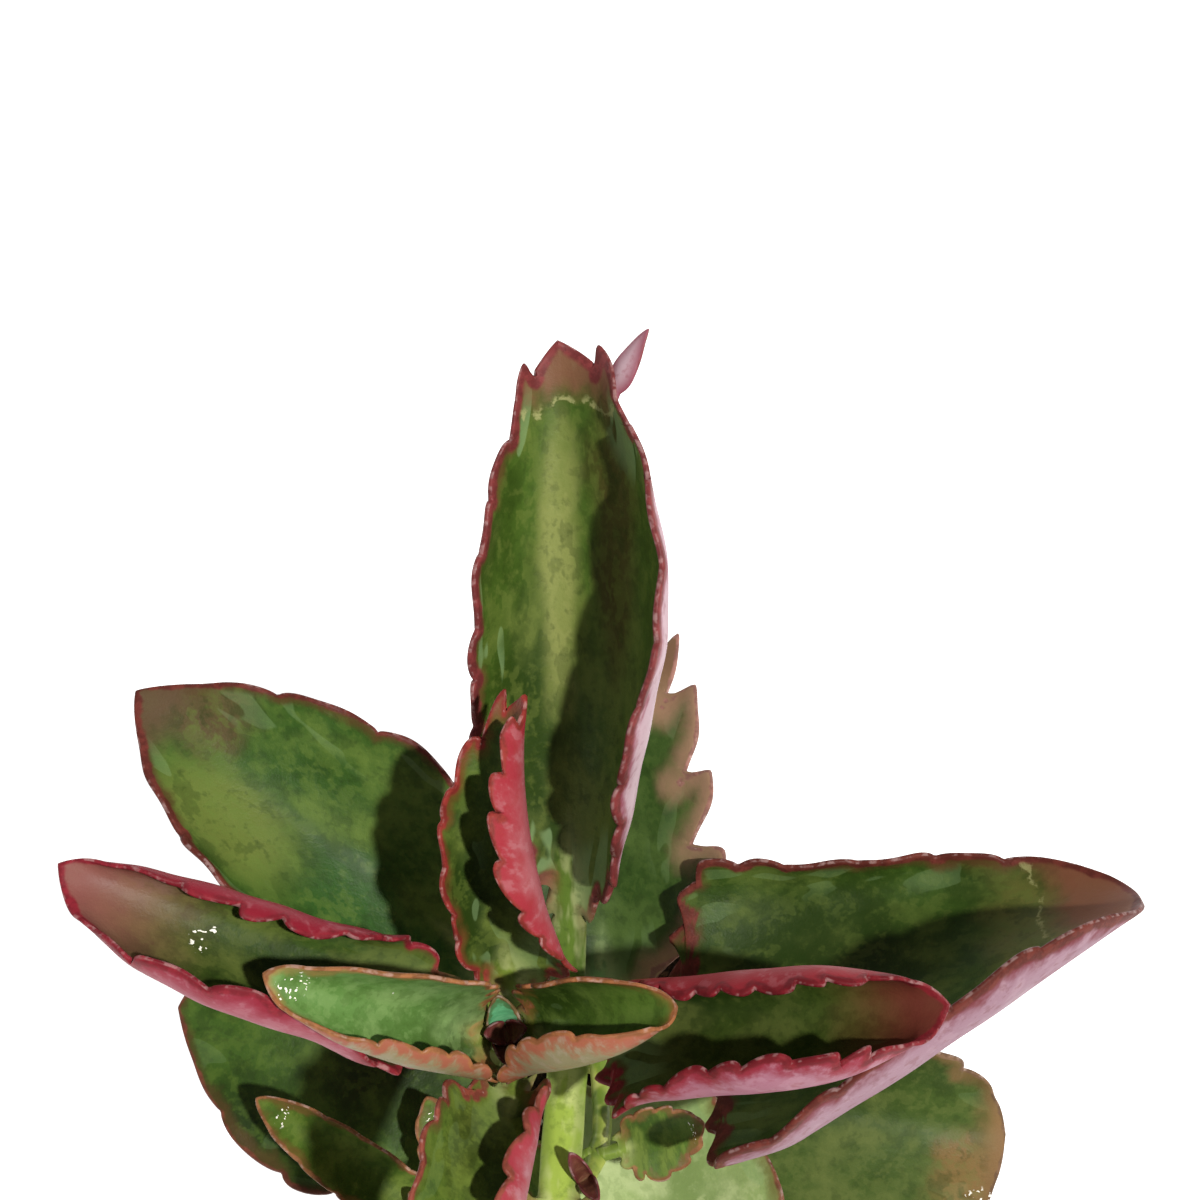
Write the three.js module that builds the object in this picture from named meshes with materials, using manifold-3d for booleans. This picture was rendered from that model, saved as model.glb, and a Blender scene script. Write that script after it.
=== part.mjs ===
// A potted kalanchoe: a leaning green stem with crosswise pairs of fleshy, boat-shaped leaves whose
// edges are scalloped, two low side shoots, potting soil and a plain round pot. Millimetres and
// degrees, +Z up, with the origin in the middle of the pot's flat underside.
//
// A leaf is first laid out flat: "along" runs on its midrib from the stem to the tip and "out" runs
// from the midrib to the edge. The flat outline is then bent in two ways: the midrib follows a
// heading and a climb that change evenly on their way to the tip, and each half curls up across
// the midrib, so that the leaf is a channel or, where it is curled far, nearly a tube.
import * as THREE from "three";
import { mergeVertices } from "three/addons/utils/BufferGeometryUtils.js";
import Module from "manifold-3d";

const wasm = await Module();
wasm.setup();

// ---------------------------------------------------------------- driving dimensions
const GAP = 0.3; // clearance between neighbouring pieces

const POT_HEIGHT = 106;
const POT_LIP_RADIUS = 56;
const POT_FOOT_RADIUS = 40;
const POT_WALL = 4;
const POT_FLOOR = 7;
const POT_BAND_HEIGHT = 17; // the thicker collar under the lip
const POT_BAND_STEP = 2.5;
const POT_EDGE = 1.4; // rounding of the lip and the foot
const POT_SIDES = 40;

const SOIL_TOP = 98;
const SOIL_CROWN = 2.5; // the soil stands this much higher in the middle
const SOIL_SIDES = 36;
const SOIL_RINGS = 4;
const SOIL_LUMP = 0.9;

// The main stem from its foot in the soil to its tip: x, y, z and radius.
const STEM = [
  [2, 9, 62, 5.2],
  [2, 9, 98, 6.4],
  [2, 9, 112, 6.4],
  [1, 8, 124, 6.2],
  [-1, 8, 138, 6],
  [-5, 8, 152, 5.6],
  [-10, 6, 166, 4.8],
  [-15, 4, 177, 3.8],
  [-16, 2, 184, 3],
  [-16, 2, 191, 1.4],
];
const STEM_RINGS = 26;
const STEM_SIDES = 12;
const JOINT_SWELL = 0.16; // how much thicker the stem is where a pair of leaves leaves it

const SHOOT_LEFT = [
  [-13, -13, 74, 2.4],
  [-13, -13, 98, 2.8],
  [-18, -24, 112, 2.6],
  [-24, -32, 124, 2.2],
  [-26, -35, 132, 1.1],
];
const SHOOT_FRONT = [
  [0, 8, 140, 2],
  [2, -4, 144, 2],
  [3, -13, 151, 1.9],
  [2, -20, 159, 1.7],
  [0, -23, 167, 0.9],
];
const SHOOT_RINGS = 10;
const SHOOT_SIDES = 8;

// Cross-section of a blade: the curl starts from a keel at the midrib.
const KEEL = 14;
const STALK_KEEL = 14; // the stalk's channel is this much deeper than the blade's keel
const EDGE_THICKNESS = 0.55; // share of the midrib's thickness
const BLADE_STATIONS = 11; // places along a large blade, two lines of vertices on each half
const BLADE_LINES = [0.45, 1];
const SMALL_STATIONS = 5;
const SMALL_LINES = [0.6];
const RIB_STEPS = 32;
const OUTLINE_STEPS = 48;
const BASE_ROUNDING = 2.2; // powers of the outline's law, from the widest place to the two ends
const TIP_ROUNDING = 1.8;
const LEAST_THICKNESS = 0.7;
const TOOTH_LEAN = 0.5; // how far a scallop points on towards the tip, as a share of its depth
const BASE_TOOTH_LEAN = 0.8; // and how far the lowest ones point back to the stem
// Where on the way out from the midrib the slope across a half is read, and each reading's weight,
// for its sum over the way (six places by Gauss and Legendre).
const SLOPE_READINGS = [
  [0.03376524, 0.08566225], [0.1693953, 0.18038079], [0.38069041, 0.23395697],
  [0.61930959, 0.23395697], [0.8306047, 0.18038079], [0.96623476, 0.08566225],
];

// What leaves of one age share. "rise" and "curl" are pairs: the climb at the stem and at the tip,
// and the turn of the left and the right half's edge. Left is as seen from the stem. "widest" is
// how far along the blade it is widest, "taper" is 0.5 for a round tip and 1 for a pointed one, and
// "shoulder" is the same for the blade's base. "bow" is how late on the way to its edge each half
// turns up, and "baseCurl" is the share of the turn that it has at the base, up to "baseReach".
const YOUNG = {
  stalk: 6, stalkHalf: 2.3, thickness: 1.9, widest: 0.38, taper: 0.7, shoulder: 0.5,
  curl: [80, 70], teeth: 8, toothDepth: 0.9, baseTeeth: 1.6, plain: 0.3,
};
const MIDDLE = {
  stalk: 15, stalkHalf: 3.6, thickness: 2.5, widest: 0.42, taper: 0.7, shoulder: 0.5,
  curl: [130, 130], teeth: 9, toothDepth: 1.4, baseTeeth: 1.4, plain: 0.14,
};
const OLD = {
  stalk: 22, stalkHalf: 4.2, thickness: 2.7, widest: 0.42, taper: 0.8, shoulder: 0.5,
  curl: [40, 30], teeth: 7, toothDepth: 1.6, baseTeeth: 1.2, plain: 0.1,
};

// One row for each large leaf: heading is counted anticlockwise from +X, swing is how far it turns
// on the way to the tip, node is the height on the stem, and roll tips the left half up. A hook
// turns the last stretch of the tip sideways.
const LEAVES = {
  leaf_1_left: {
    ...YOUNG, node: 184, heading: 178.3, swing: -15, rise: [56, 29], roll: [0, -12.6], length: 54.7,
    halfWidth: 15.9, lopsided: 0.02, curl: [172, 86.3], bow: [1.8, 0.6], widest: 0.34, taper: 0.82,
    teeth: 9,
  },
  leaf_1_right: {
    ...YOUNG, node: 184, heading: -3, swing: 15, rise: [48, 32], roll: [4, -3], length: 40,
    halfWidth: 18, lopsided: -0.15, widest: 0.41, taper: 0.66, curl: [105, 150], teeth: 8,
  },
  leaf_2_back: {
    ...MIDDLE, node: 177, heading: 102, swing: -31, rise: [43.5, 35], roll: [39, -56], stalk: 10,
    stalkHalf: 3, length: 69, halfWidth: 16.8, lopsided: -0.22, widest: 0.5, taper: 0.61,
    curl: [92, 115], bow: [1.4, 1.2], teeth: 9, toothDepth: 1.7, thickness: 2.1, tipTeeth: 1,
  },
  leaf_2_front: {
    ...MIDDLE, node: 177, heading: -91, swing: -8, rise: [46, 14], roll: [-19, 20], stalk: 14,
    stalkHalf: 3, length: 65, halfWidth: 18.5, widest: 0.45, curl: [140, 82], teeth: 8,
    toothDepth: 1.9, thickness: 2.1,
  },
  leaf_3_left: {
    ...MIDDLE, node: 166, heading: 170.4, swing: -10.4, rise: [40, 19.9], roll: [0, -8], stalk: 22,
    length: 99.1, halfWidth: 21.3, lopsided: 0.33, widest: 0.5, taper: 0.88, curl: [145, 147],
    bow: [1.45, 1.3], baseCurl: [0.35, 0.1], baseReach: 0.45, teeth: 9, toothDepth: 1.8,
    baseTeeth: 0.4,
  },
  leaf_3_right: {
    ...MIDDLE, node: 166, heading: 0, swing: -0.7, rise: [35.4, 20], roll: [18.2, 5.3], length: 81.3,
    halfWidth: 27.6, lopsided: -0.19, widest: 0.54, taper: 0.77, curl: [135, 137], teeth: 9,
    toothDepth: 1.8,
  },
  leaf_4_back: {
    ...OLD, node: 152, heading: 89.4, swing: 3.2, rise: [36, 34], roll: [-14, 0], stalk: 24,
    length: 137.6, halfWidth: 33.4, lopsided: -0.31, widest: 0.57, shoulder: 1, taper: 0.92,
    curl: [81, 105], bow: [1.1, 0.9], baseCurl: [0.35, 1.7], baseReach: 0.65, teeth: 10,
    toothDepth: 2, tipTeeth: 2, plain: 0.06,
  },
  leaf_4_front: {
    ...OLD, node: 152, heading: -94, swing: 4, rise: [24, 2], roll: [0, 0], stalk: 36,
    stalkHalf: 4.4, length: 118, halfWidth: 24, curl: [70, 60], teeth: 8,
  },
  leaf_5_left: {
    ...OLD, node: 138, heading: 149, swing: -7, rise: [30, 7], roll: [-5, 4], length: 118,
    halfWidth: 26.6, widest: 0.44, taper: 0.84, curl: [96, 32], bow: [3, 1], teeth: 6,
    toothDepth: 1.8,
  },
  leaf_5_right: {
    ...OLD, node: 138, heading: -3.5, swing: 27.6, rise: [18.2, 24.4], roll: [3.4, -70], stalk: 20,
    length: 116, halfWidth: 43, lopsided: -0.19, widest: 0.11, taper: 0.42, curl: [132, 86.5],
    bow: [3, 2.4], baseCurl: [0.25, 0.95], baseReach: 0.5, teeth: 7, toothDepth: 1.8,
    baseTeeth: 0.2,
  },
  leaf_6_back: {
    ...OLD, node: 124, heading: 91, swing: -14, rise: [29, 10], roll: [0, -4], stalk: 9,
    length: 92, halfWidth: 24.5, widest: 0.42, curl: [30, 40], teeth: 6, toothDepth: 5,
    baseTeeth: 0.2,
  },
  leaf_6_front: {
    ...OLD, node: 124, heading: -72, swing: 6, rise: [16, -6], roll: [0, 0], stalk: 9,
    length: 92, halfWidth: 25, curl: [30, 30], toothDepth: 2.2,
  },
  leaf_7_left: {
    ...OLD, node: 112, heading: 182, swing: -12.5, rise: [16, -5], roll: [-4, -20],
    length: 94.5, halfWidth: 33, lopsided: 0.04, widest: 0.46, curl: [14, 24],
  },
  leaf_7_right: {
    ...OLD, node: 112, heading: -25, swing: 25, rise: [10, -10], roll: [3, 12], length: 90,
    halfWidth: 30, lopsided: -0.11, widest: 0.38, taper: 0.72, curl: [60, 32], toothDepth: 2.2,
  },
};

// The small leaves of the growing tip and of the side shoots, each pair at one height.
const TINY = {
  stalk: 1.5, stalkHalf: 1.2, thickness: 1.2, widest: 0.45, taper: 0.7, shoulder: 0.5, curl: [60, 60],
  swing: 0, roll: [0, 0], teeth: 0, toothDepth: 0, baseTeeth: 0, plain: 1,
};
const SMALL = {
  ...TINY, stalk: 6, stalkHalf: 1.6, thickness: 1.6, curl: [30, 30], teeth: 5, toothDepth: 1,
  baseTeeth: 0.5, plain: 0.1,
};
const TIP_LEAVES = [
  { ...TINY, node: 187, heading: 84, rise: [66, 58], length: 11.5, halfWidth: 3.4, thickness: 1.3 },
  { ...TINY, node: 187, heading: -100, rise: [66, 40], length: 10, halfWidth: 3.2, thickness: 1.3 },
  { ...TINY, node: 189, heading: 8, rise: [72, 60], length: 7, halfWidth: 2 },
  { ...TINY, node: 189, heading: 188, rise: [72, 60], length: 7, halfWidth: 2 },
];
const SHOOT_LEFT_LEAVES = [
  {
    ...SMALL, node: 127, heading: 148, rise: [28, 0], length: 55, halfWidth: 8, stalk: 9,
    curl: [50, 75],
  },
  { ...SMALL, node: 127, heading: -29, rise: [15, -10], length: 28, halfWidth: 7 },
  { ...SMALL, node: 122, heading: 115, rise: [34, 12], length: 32, halfWidth: 7 },
  { ...TINY, node: 130, heading: 138, rise: [50, 15], length: 20, halfWidth: 4.5, curl: [70, 70] },
  { ...TINY, node: 130, heading: -42, rise: [55, 30], length: 16, halfWidth: 4.5, curl: [70, 70] },
];
const SHOOT_FRONT_LEAVES = [
  { ...SMALL, node: 157, heading: 2, rise: [-12, -22], length: 19, halfWidth: 8, stalk: 4 },
  { ...SMALL, node: 155, heading: -160, rise: [-20, -30], length: 20, halfWidth: 6, stalk: 4 },
  { ...TINY, node: 163, heading: 122, rise: [62, 50], length: 11, halfWidth: 2.6, curl: [80, 80] },
  { ...TINY, node: 163, heading: -58, rise: [66, 56], length: 11, halfWidth: 2.6, curl: [80, 80] },
];

// ---------------------------------------------------------------- materials
function finish(color, roughness) {
  return new THREE.MeshStandardMaterial({ color, roughness, metalness: 0 });
}
const leafGreen = finish(0x4d6b2e, 0.42);
const youngGreen = finish(0x7c9f5b, 0.4);
const YOUNGEST_GREEN = 170; // leaves above this height on the stem are the light green ones
const stemGreen = finish(0x93a64a, 0.45);
const glazedPot = finish(0xe4ded2, 0.3);
const darkSoil = finish(0x35281f, 0.95);

// ---------------------------------------------------------------- solids and meshes
const group = new THREE.Group();

function add(name, geometry, material) {
  const mesh = new THREE.Mesh(geometry, material);
  mesh.name = name;
  group.add(mesh);
}

function solidOf(geometry) {
  const bare = geometry.clone();
  bare.deleteAttribute("normal");
  bare.deleteAttribute("uv");
  const merged = mergeVertices(bare, 1e-3);
  const vertProperties = new Float32Array(merged.attributes.position.array);
  const triVerts = new Uint32Array(merged.index.array);
  return new wasm.Manifold(new wasm.Mesh({ numProp: 3, vertProperties, triVerts }));
}

// The largest body of a solid, without the crumbs that a cut may leave, as a geometry.
function geometryOf(solid) {
  const bodies = solid.decompose().sort((a, b) => b.volume() - a.volume());
  const { vertProperties, triVerts } = bodies[0].getMesh();
  return meshGeometry(Array.from(vertProperties), Array.from(triVerts));
}

function meshGeometry(coordinates, triangles) {
  const geometry = new THREE.BufferGeometry();
  geometry.setAttribute("position", new THREE.Float32BufferAttribute(coordinates, 3));
  geometry.setIndex(triangles);
  geometry.computeVertexNormals();
  return geometry;
}

function radians(degrees) {
  return THREE.MathUtils.degToRad(degrees);
}

// ---------------------------------------------------------------- stems
function stemPlace(stem, height) {
  const next = Math.max(1, stem.findIndex((row) => row[2] >= height));
  const low = stem[next - 1];
  const high = stem[next];
  const share = (height - low[2]) / (high[2] - low[2]);
  return low.map((value, i) => THREE.MathUtils.lerp(value, high[i], share));
}

// A closed tube round the stem's points, wider by "extra" and swollen at the leaf joints.
function stemGeometry(stem, rings, sides, joints, extra = 0) {
  const curve = new THREE.CatmullRomCurve3(stem.map(([x, y, z]) => new THREE.Vector3(x, y, z)));
  const coordinates = [];
  const triangles = [];
  for (let i = 0; i <= rings; i++) {
    const centre = curve.getPointAt(i / rings);
    const along = curve.getTangentAt(i / rings);
    const sideways = new THREE.Vector3(1, 0, 0).addScaledVector(along, -along.x).normalize();
    const across = along.clone().cross(sideways);
    const height = THREE.MathUtils.clamp(centre.z, stem[0][2], stem.at(-1)[2]);
    const swell = joints.reduce((sum, joint) => sum + Math.exp(-(((height - joint) / 2) ** 2)), 0);
    const radius = stemPlace(stem, height)[3] * (1 + JOINT_SWELL * Math.min(swell, 1)) + extra;
    for (let k = 0; k < sides; k++) {
      const turn = (2 * Math.PI * k) / sides;
      const place = centre.clone().addScaledVector(sideways, radius * Math.cos(turn));
      place.addScaledVector(across, radius * Math.sin(turn));
      coordinates.push(...place);
    }
  }
  const foot = coordinates.length / 3;
  coordinates.push(...curve.getPointAt(0).addScaledVector(curve.getTangentAt(0), -extra));
  coordinates.push(...curve.getPointAt(1).addScaledVector(curve.getTangentAt(1), 1 + extra));
  for (let k = 0; k < sides; k++) {
    const k2 = (k + 1) % sides;
    for (let i = 0; i < rings; i++) {
      const low = i * sides;
      const high = low + sides;
      triangles.push(low + k, low + k2, high + k2, low + k, high + k2, high + k);
    }
    triangles.push(foot, k2, k, foot + 1, rings * sides + k, rings * sides + k2);
  }
  return meshGeometry(coordinates, triangles);
}

// ---------------------------------------------------------------- leaves
function ribHeading(leaf, share) {
  return radians(leaf.heading + leaf.swing * share + leaf.hook * share ** 8);
}

function ribDirection(leaf, share) {
  const heading = ribHeading(leaf, share);
  const rise = radians(THREE.MathUtils.lerp(leaf.rise[0], leaf.rise[1], share));
  const level = Math.cos(rise);
  return new THREE.Vector3(level * Math.cos(heading), level * Math.sin(heading), Math.sin(rise));
}

// The place on the midrib with the directions to the left of it and out of its upper face.
function ribFrame(leaf, along) {
  const place = leaf.root.clone();
  for (let i = 0; i < RIB_STEPS; i++) {
    const share = ((i + 0.5) * along) / RIB_STEPS / leaf.length;
    place.addScaledVector(ribDirection(leaf, share), along / RIB_STEPS);
  }
  const share = along / leaf.length;
  const heading = ribHeading(leaf, share);
  const level = new THREE.Vector3(-Math.sin(heading), Math.cos(heading), 0);
  const upright = ribDirection(leaf, share).cross(level);
  const roll = radians(THREE.MathUtils.lerp(leaf.roll[0], leaf.roll[1], share));
  const left = level.clone().multiplyScalar(Math.cos(roll));
  left.addScaledVector(upright, Math.sin(roll));
  const up = upright.multiplyScalar(Math.cos(roll)).addScaledVector(level, -Math.sin(roll));
  return { place, left, up };
}

// Half width of the blade, as a share of its widest, at a share t of the blade's length.
function bladeShare(leaf, t) {
  if (t <= 0 || t >= 1) return 0;
  if (t < leaf.widest) return (1 - (1 - t / leaf.widest) ** BASE_ROUNDING) ** leaf.shoulder;
  return (1 - ((t - leaf.widest) / (1 - leaf.widest)) ** TIP_ROUNDING) ** leaf.taper;
}

function bladeAt(leaf, along) {
  return (along - leaf.stalk) / (leaf.length - leaf.stalk);
}

function halfWidthAt(leaf, side, along) {
  const blade = leaf.halfWidth * (1 + side * leaf.lopsided) * bladeShare(leaf, bladeAt(leaf, along));
  return bladeAt(leaf, along) < leaf.widest ? Math.max(blade, leaf.stalkHalf) : blade;
}

// Bends a flat place into space: side is 1 on the left half and -1 on the right half, and lift is
// how far above the middle of the blade's thickness the place lies.
function bend(leaf, side, along, out, lift) {
  const { place, left, up } = ribFrame(leaf, along);
  const t = bladeAt(leaf, along);
  const narrowing = t > leaf.widest ? Math.max(bladeShare(leaf, t), 0.35) ** 0.6 : 1;
  const reach = leaf.halfWidth * (1 + side * leaf.lopsided) * narrowing;
  const half = side > 0 ? 0 : 1;
  const opened = THREE.MathUtils.smoothstep(t, -0.15, leaf.baseReach);
  const opening = THREE.MathUtils.lerp(leaf.baseCurl[half], 1, opened);
  const start = radians(KEEL + STALK_KEEL * (1 - THREE.MathUtils.smoothstep(t, -0.1, 0.3)));
  const end = radians(Math.max(KEEL, leaf.curl[half] * opening));
  const turnAt = (way) => start + (end - start) * Math.min(way / reach, 1) ** leaf.bow[half];
  let across = 0;
  let height = 0;
  for (const [share, weight] of SLOPE_READINGS) {
    across += weight * out * Math.cos(turnAt(out * share));
    height += weight * out * Math.sin(turnAt(out * share));
  }
  place.addScaledVector(left, side * across).addScaledVector(up, height);
  const tilt = out > 0 ? turnAt(out) : 0;
  place.addScaledVector(left, -side * Math.sin(tilt) * lift);
  return place.addScaledVector(up, Math.cos(tilt) * lift);
}

function thicknessAt(leaf, along, edgeShare) {
  const stalk = 1 + 0.4 * (1 - THREE.MathUtils.smoothstep(bladeAt(leaf, along), -0.1, 0.2));
  const tip = 1 - 0.4 * THREE.MathUtils.smoothstep(bladeAt(leaf, along), 0.7, 1);
  const toEdge = THREE.MathUtils.lerp(1, EDGE_THICKNESS, edgeShare ** 1.5);
  return Math.max(LEAST_THICKNESS, leaf.thickness * stalk * tip * toEdge);
}

// The plain edge of one half, from the end of the stalk to the tip.
function plainEdge(leaf, side) {
  const points = [];
  for (let i = 0; i < OUTLINE_STEPS; i++) {
    const t = (1 - Math.cos((Math.PI * i) / OUTLINE_STEPS)) / 2;
    const along = THREE.MathUtils.lerp(leaf.stalk, leaf.length, t);
    points.push(new THREE.Vector2(along, halfWidthAt(leaf, side, along)));
  }
  points.push(new THREE.Vector2(leaf.length, 0));
  return new THREE.SplineCurve(points);
}

// The scalloped edge: each scallop leans towards the tip behind a sharp notch, the ones at the
// blade's base are longer and point back to the stem, and the last stretch to the tip is plain.
function scallopedEdge(leaf, side) {
  const edge = plainEdge(leaf, side);
  const phases = leaf.lines.length > 1 ? [0, 0.2, 0.45, 0.75] : [0, 0.3, 0.7];
  const shares = [];
  for (let tooth = 0; tooth < leaf.teeth; tooth++) {
    for (const phase of phases) shares.push(((tooth + phase) / leaf.teeth) * (1 - leaf.plain));
  }
  const plainSteps = Math.max(2, Math.round(leaf.plain * 14));
  for (let i = 0; i < plainSteps; i++) shares.push(1 - leaf.plain * (1 - i / plainSteps));
  return shares.map((share) => {
    const place = edge.getPointAt(share);
    const along = edge.getTangentAt(share);
    const phase = ((share * leaf.teeth) / (1 - leaf.plain)) % 1;
    const crown = Math.sin(Math.PI * phase ** 1.5) ** 0.6;
    const fade = THREE.MathUtils.smoothstep(1 - leaf.plain - share, -0.02, 0.12);
    const nearBase = Math.exp(-((share / 0.14) ** 2));
    const nearTip = Math.exp(-(((1 - leaf.plain - share) / 0.16) ** 2));
    const longer = 1 + leaf.baseTeeth * nearBase + leaf.tipTeeth * nearTip;
    const scalloped = share > 0 && share < 1 - leaf.plain;
    const offset = scalloped ? leaf.toothDepth * longer * fade * (crown - 0.5) : 0;
    const lean = THREE.MathUtils.lerp(TOOTH_LEAN, -BASE_TOOTH_LEAN, nearBase) * offset;
    return {
      along: place.x - along.y * offset + along.x * lean,
      out: Math.max(place.y + along.x * offset + along.y * lean, leaf.stalkHalf * 0.75),
      pace: place.x,
      edgeShare: 1,
    };
  });
}

// A line along one half, at a share of the room inside the scallops.
function innerLine(leaf, side, share, stations) {
  return stations.map((along) => {
    const width = halfWidthAt(leaf, side, along);
    const room = Math.min(leaf.toothDepth + 0.12 * leaf.halfWidth, width * 0.35);
    return { along, out: share * (width - room), pace: along, edgeShare: share * 0.85 };
  });
}

// Twice the area of a flat triangle, below zero where its corners run clockwise.
function turnOf(a, b, c) {
  return (b.along - a.along) * (c.out - a.out) - (b.out - a.out) * (c.along - a.along);
}

// Triangles between two neighbouring lines of vertices, in step with each other. A step that would
// fold a triangle over, now or after the other line's step, gives way to the other one.
function lace(inner, outer, side, triangles) {
  let i = 0;
  let j = 0;
  while (i < inner.length - 1 || j < outer.length - 1) {
    const innerLeft = i < inner.length - 1;
    const outerLeft = j < outer.length - 1;
    let innerNext = !outerLeft || (innerLeft && inner[i + 1].pace <= outer[j + 1].pace);
    if (innerLeft && outerLeft) {
      const innerFits = turnOf(inner[i], inner[i + 1], outer[j]) > 0.01;
      const outerFits = turnOf(inner[i], outer[j + 1], outer[j]) > 0.01;
      const outerFitsLater = turnOf(inner[i + 1], outer[j + 1], outer[j]) > 0.01;
      if (innerNext) innerNext = !outerFits || (innerFits && outerFitsLater);
      else innerNext = innerFits && !outerFits;
    }
    const third = innerNext ? inner[i + 1].index : outer[j + 1].index;
    const triangle = side > 0
      ? [inner[i].index, third, outer[j].index]
      : [inner[i].index, outer[j].index, third];
    if (third !== inner[i].index && third !== outer[j].index) triangles.push(triangle);
    if (innerNext) i += 1;
    else j += 1;
  }
}

function leafGeometry(leaf, bladeStations) {
  const vertices = [];
  function keep(place) {
    vertices.push(place);
    place.index = vertices.length - 1;
    return place;
  }
  const stations = [0, leaf.stalk / 2, leaf.stalk];
  for (let i = 1; i < bladeStations; i++) {
    const t = (1 - Math.cos((Math.PI * i) / bladeStations)) / 2;
    stations.push(THREE.MathUtils.lerp(leaf.stalk, leaf.length, t));
  }
  const tip = keep({ side: 1, along: leaf.length, out: 0, pace: leaf.length, edgeShare: 0.9 });
  const rib = stations.map((along) => keep({ side: 1, along, out: 0, pace: along, edgeShare: 0 }));
  rib.push(tip);
  const triangles = [];
  const rim = {};
  for (const side of [1, -1]) {
    const lines = [rib];
    for (const share of leaf.lines) {
      const line = innerLine(leaf, side, share, stations).map((place) => keep({ side, ...place }));
      lines.push([...line, tip]);
    }
    const stalkEdge = stations.slice(0, 2).map((along) => (
      keep({ side, along, out: leaf.stalkHalf, pace: along, edgeShare: 0.6 })
    ));
    const bladeEdge = scallopedEdge(leaf, side).map((place) => keep({ side, ...place }));
    lines.push([...stalkEdge, ...bladeEdge, tip]);
    for (let n = 1; n < lines.length; n++) lace(lines[n - 1], lines[n], side, triangles);
    rim[side] = { edge: lines.at(-1), foot: lines.map((line) => line[0]) };
  }
  // Anticlockwise round the leaf as seen from above: out along the right edge and back on the left.
  const loop = [
    ...rim[1].foot.slice(1).reverse(),
    ...rim[-1].foot,
    ...rim[-1].edge.slice(1),
    ...rim[1].edge.slice(1, -1).reverse(),
  ].map((place) => place.index);
  const coordinates = [];
  for (const lift of [0.5, -0.5]) {
    for (const { side, along, out, edgeShare } of vertices) {
      const thickness = thicknessAt(leaf, along, edgeShare);
      coordinates.push(...bend(leaf, side, along, out, lift * thickness));
    }
  }
  const under = vertices.length;
  const faces = [];
  for (const [a, b, c] of triangles) faces.push(a, b, c, under + a, under + c, under + b);
  loop.forEach((a, i) => {
    const b = loop[(i + 1) % loop.length];
    faces.push(a, under + a, under + b, a, under + b, b);
  });
  return meshGeometry(coordinates, faces);
}

function leafOn(stem, leaf, bladeStations, lines) {
  const [x, y, z] = stemPlace(stem, leaf.node);
  const root = new THREE.Vector3(x, y, z);
  const plain = {
    lopsided: 0, hook: 0, tipTeeth: 0, bow: [1, 1], baseCurl: [0.35, 0.35], baseReach: 0.3,
  };
  return leafGeometry({ ...plain, ...leaf, root, lines }, bladeStations);
}

// A stem, swollen at its joints, with its small leaves grown together with it.
function leafyStem(stem, rings, sides, joints, leaves) {
  return leaves.reduce(
    (solid, leaf) => solid.add(solidOf(leafOn(stem, leaf, SMALL_STATIONS, SMALL_LINES))),
    solidOf(stemGeometry(stem, rings, sides, joints)),
  );
}

function nodesOf(leaves) {
  return [...new Set(leaves.map((leaf) => leaf.node))];
}

// ---------------------------------------------------------------- pot and soil
function arc(cx, cy, radius, from, to, steps) {
  const points = [];
  for (let i = 0; i <= steps; i++) {
    const turn = radians(THREE.MathUtils.lerp(from, to, i / steps));
    points.push(new THREE.Vector2(cx + radius * Math.cos(turn), cy + radius * Math.sin(turn)));
  }
  return points;
}

// Radius of the pot's outer wall below its band.
function wallRadius(height) {
  const top = POT_LIP_RADIUS - POT_BAND_STEP;
  return THREE.MathUtils.lerp(POT_FOOT_RADIUS, top, height / (POT_HEIGHT - POT_BAND_HEIGHT));
}

function insideRadius(height) {
  return Math.min(wallRadius(height), POT_LIP_RADIUS - POT_BAND_STEP) - POT_WALL;
}

function potGeometry() {
  const bandFoot = POT_HEIGHT - POT_BAND_HEIGHT;
  const lipInside = insideRadius(POT_HEIGHT);
  const profile = [
    new THREE.Vector2(0, 0),
    ...arc(POT_FOOT_RADIUS - POT_EDGE, POT_EDGE, POT_EDGE, -90, 0, 2),
    new THREE.Vector2(wallRadius(bandFoot), bandFoot),
    new THREE.Vector2(POT_LIP_RADIUS, bandFoot + POT_EDGE),
    ...arc(POT_LIP_RADIUS - POT_EDGE, POT_HEIGHT - POT_EDGE, POT_EDGE, 0, 90, 3),
    ...arc(lipInside + POT_EDGE, POT_HEIGHT - POT_EDGE, POT_EDGE, 90, 180, 3),
    new THREE.Vector2(insideRadius(bandFoot), bandFoot),
    new THREE.Vector2(insideRadius(POT_FLOOR), POT_FLOOR),
    new THREE.Vector2(0, POT_FLOOR),
  ];
  return new THREE.LatheGeometry(profile, POT_SIDES).rotateX(Math.PI / 2);
}

function soilGeometry() {
  const bandFoot = POT_HEIGHT - POT_BAND_HEIGHT;
  const foot = POT_FLOOR + GAP;
  const profile = [
    new THREE.Vector2(0, foot),
    new THREE.Vector2(insideRadius(foot) - GAP, foot),
    new THREE.Vector2(insideRadius(bandFoot) - GAP, bandFoot),
  ];
  const edge = insideRadius(SOIL_TOP) - GAP;
  for (let ring = SOIL_RINGS; ring >= 0; ring--) {
    const radius = (edge * ring) / SOIL_RINGS;
    profile.push(new THREE.Vector2(radius, SOIL_TOP + SOIL_CROWN * (1 - (radius / edge) ** 2)));
  }
  const geometry = new THREE.LatheGeometry(profile, SOIL_SIDES).rotateX(Math.PI / 2);
  const place = geometry.attributes.position;
  for (let i = 0; i < place.count; i++) {
    const x = place.getX(i);
    const y = place.getY(i);
    const z = place.getZ(i);
    const lump = SOIL_LUMP * Math.sin(x / 5.1 + 1) * Math.cos(y / 6.3) * (1 - Math.hypot(x, y) / edge);
    if (z > bandFoot + 1) place.setZ(i, z + lump);
  }
  return geometry;
}

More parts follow.
